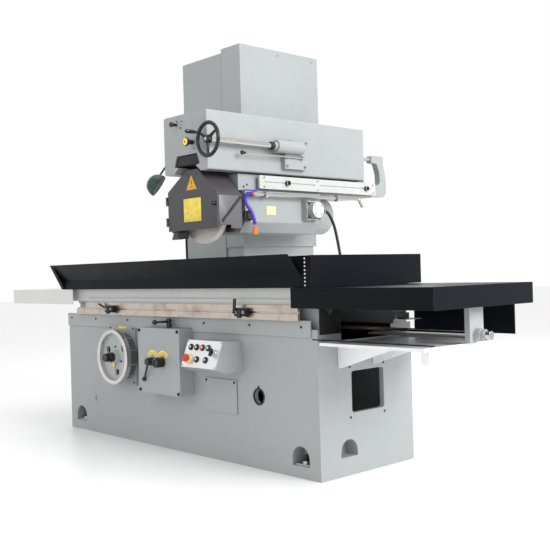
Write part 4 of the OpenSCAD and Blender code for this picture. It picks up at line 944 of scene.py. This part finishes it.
def housing_trim():
    """Sight glass, label, terminal box cap, motor cowl and screws of the spindle housing."""
    side = high("spindle_housing").x
    lathe([(0, 11.2), (15.8, 11.2), (14, 12.5), (0, 13.2)], (side, 0.104, 1.266), X, 40)
    piece("sight_glass", "glass", "wheelhead")
    ring_lathe([(16.5, 12), (16.5, 15.2), (27, 15.6), (30.5, 13), (30.5, 0)], (side, 0.104, 1.266), X, 48)
    piece("sight_glass_ring", "oxide", "wheelhead")
    label("housing_label", (side, 0.287, 1.302), X, Z, rounded(0.068, 0.046, 0.003), "pale_yellow",
          "wheelhead")
    lathe([(45.2, 0), (46.6, 1.5), (46.6, 4.5), (44, 6.2), (0, 6.6)], (0.234, 0.586, 1.308), X, 64)
    piece("terminal_cap", "pale", "wheelhead")
    for a in (45, 135, 225, 315):
        cap_screw((0.2403, 0.586 + 0.035 * cos(radians(a)), 1.308
                   + 0.035 * sin(radians(a))), X, 3.6, 2.4)
    for y in (0.541, 0.639):
        for z in (1.258, 1.358):
            cap_screw((0.192, y, z), X, 4.5, 3.2)
    piece("terminal_screws", "oxide", "wheelhead")
    motor = high("spindle_housing").y
    for r in (30, 50, 70, 90):
        loop = [(r, 0), (r, 2), (r + 5, 2), (r + 5, 0)]
        ring_lathe(loop, (-0.046, motor, 1.294), Y, 64)
    for k in range(4):
        spot = Matrix.Translation((-0.046, motor, 1.294)) @ Matrix.Rotation(radians(45 + 90 * k), 4, "Y")
        box((-0.003, 0, 0.02), (0.003, 0.0028, 0.106), 0.0006, spot)
    piece("fan_grille", "oxide", "wheelhead")
    for y in (0.225, 0.66, 1.165):
        for z in (1.436, 1.488):
            cap_screw((0.164, y, z), X, 5.5, 4)
    piece("cross_rail_screws", "steel", "wheelhead")
    for y, z in ((0.124, 1.446), (0.1, 1.434)):
        cap_screw((0.128, y, z), X, 5.2, 4)
    piece("slide_screws", "oxide", "wheelhead")
    for y in (0.405, 1.098):
        lathe([(8.5, 0), (15.5, 1), (15.8, 12), (14, 19.5), (0, 20)], (0.1645, y, 1.463), X, 32)
        lathe([(6.8, 19), (6.8, 26), (5, 27.5), (0, 27.5)], (0.1645, y, 1.463), X, 6)
    piece("cross_dogs", "oxide", "wheelhead")


def coolant_line():
    """Ball-jointed hose with its nozzle, and the fittings on the pipe."""
    route = [(190, 101, 1387), (189.5, 85, 1387), (189, 69, 1381), (188.5, 59, 1367), (188.5, 57, 1350),
             (189, 63, 1333), (190, 75, 1318), (191, 88, 1303), (192, 99, 1286), (193, 107, 1268),
             (194, 113, 1250), (195, 117, 1233), (195, 120, 1216)]
    path = [Vector(p) * MM for p in route]
    for a, b in zip(path, path[1:]):
        d = (b - a)
        n = d.length / MM
        lathe([(8.8, -1), (11, 1), (12.7, n * 0.18), (13.3, n * 0.3), (12.2, n * 0.42), (8.8, n * 0.52),
               (7.9, n * 0.62), (9.2, n * 0.8), (10.8, n)], a, d, 28)
    hose = piece("jointed_hose", "blue", "wheelhead")
    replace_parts(hose, "coolant_hose")
    tip = Vector((0.195, 0.122, 1.205))
    lathe([(0, 2), (10, 2), (10.4, -4), (9.4, -12), (0, -12)], tip, Z, 32)
    part = bmesh.new()
    bmesh.ops.create_cube(part, size=1)
    for v in part.verts:
        up = v.co.z > 0
        v.co = Vector((v.co.x * (0.014 if up else 0.008), v.co.y * (0.022 if up else 0.036),
                       -0.01 if up else -0.044))
    soft_edge(part, 0.0018)
    join(part, Matrix.Translation(tip))
    piece("hose_nozzle", "orange", "wheelhead")
    x, z = 0.19, 1.388
    lathe([(10, 0), (15, 1), (16, 3), (16, 15), (15, 17), (10, 18)], (x, 0.132, z), Y, 6)
    lathe([(8, 0), (12, 1), (12, 20), (8, 21)], (x, 0.15, z), Y, 32)
    for y in (0.205, 0.795):
        ring_lathe([(11.2, 0), (11.2, 12), (20, 12), (20, 0)], (x, y, z), Y, 40)
    piece("pipe_fittings", "chrome", "wheelhead")
    lathe([(6.8, 0), (11.5, 1), (11.8, 12), (6.8, 13)], (x, 0.108, z), Y, 28)
    piece("hose_adapter", "orange", "wheelhead")
    lathe([(4, 10), (4, 22), (6.2, 23.5), (6.2, 26), (0, 26)], (x, 0.136, z), Z, 20)
    box((x - 0.0065, 0.05, 1.404), (x + 0.0065, 0.146, 1.411), 0.002)
    piece("valve_handle", "blue", "wheelhead")


def motor_cable():
    """The motor's cable, a tube swept along a set route between the wheelhead and the carriage."""
    route = [(213, 658.6, 1302), (213.5, 670, 1302), (217, 688, 1293), (221, 706, 1268), (224, 723, 1235),
             (226, 736, 1200), (230, 749, 1140), (234, 759, 1080), (238, 768, 1020), (238, 785, 950),
             (226, 815, 880), (196, 865, 810), (140, 930, 757), (55, 1010, 724), (-60, 1085, 712),
             (-190, 1130, 722), (-320, 1150, 762), (-425, 1154, 830), (-490, 1152, 915), (-518, 1150, 1000),
             (-528, 1150, 1090), (-530, 1150, 1160), (-530, 1150, 1216.5)]
    sweep(curve_through([Vector(p) * MM for p in route], 5), 0.0088, 18)
    cable = piece("motor_lead", "rubber", None)
    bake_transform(cable)
    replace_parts(cable, "motor_cable")
    lathe([(14.5, 0), (15, 4), (12.2, 12), (10.4, 26), (10, 29)], (0.213, 0.645, 1.302), Y, 28)
    piece("cable_gland", "rubber", "wheelhead")


# ---- Studio ----

def studio():
    """Camera, lights, floor and world."""
    right = Vector((0.67725, 0.73522, -0.02796))
    up = Vector((0.01592, 0.02334, 0.9996))
    forward = Vector((-0.73558, 0.67743, -0.00411))
    data = bpy.data.cameras.new("camera")
    data.lens, data.sensor_width = 56.05, 36.0
    data.clip_start, data.clip_end = 0.1, 100
    camera = bpy.data.objects.new("camera", data)
    turn = Matrix((right, up, -forward)).transposed().to_4x4()
    camera.matrix_world = Matrix.Translation((3.7919, -3.0516, 0.95)) @ turn
    bpy.context.scene.collection.objects.link(camera)
    bpy.context.scene.camera = camera

    bm, half = bmesh.new(), 30.0
    corners = ((-half, -half), (half, -half), (half, half), (-half, half))
    bm.faces.new([bm.verts.new((x, y, 0)) for x, y in corners])
    mesh = bpy.data.meshes.new("floor")
    bm.to_mesh(mesh)
    bm.free()
    floor = bpy.data.objects.new("floor", mesh)
    bpy.context.scene.collection.objects.link(floor)
    s = Shader("floor", (0.86, 0.86, 0.86), 0.35)
    s.wire("Roughness", s.remap(s.noise(3, 3), 0.3, 0.7, 0.3, 0.42))
    mesh.materials.append(s.material)

    world = bpy.data.worlds.new("studio")
    world.use_nodes = True
    world.node_tree.nodes["Background"].inputs["Color"].default_value = (1, 1, 1, 1)
    world.node_tree.nodes["Background"].inputs["Strength"].default_value = 1.0
    bpy.context.scene.world = world
    for name, spot, target, size, power in (
            ("key", (5.5, 0.6, 3.4), (0, 0.2, 1.0), 3.0, 330),
            ("front", (-0.5, -6.0, 3.2), (0, 0, 0.9), 4.0, 25),
            ("top", (0.0, 0.0, 6.0), (0, 0, 0), 4.0, 60),
            ("back", (-3.5, 4.5, 3.5), (0, 0, 1.0), 3.0, 40)):
        light = bpy.data.lights.new(name, "AREA")
        light.energy, light.size = power, size
        obj = bpy.data.objects.new(name, light)
        obj.location = spot
        obj.rotation_euler = (Vector(target) - Vector(spot)).to_track_quat("-Z", "Y").to_euler()
        bpy.context.scene.collection.objects.link(obj)
    bpy.context.scene.view_settings.view_transform = "Standard"


studio()
dress_frame()
screws()
bed_trim()
niche_bolts()
elevating_wheel()
operation_controls()
control_panel()
table_trim()
trip_dogs()
column_trim()
cross_wheel()
carriage_trim()
work_lamp()
guard_trim()
grinding_wheel()
housing_trim()
coolant_line()
motor_cable()
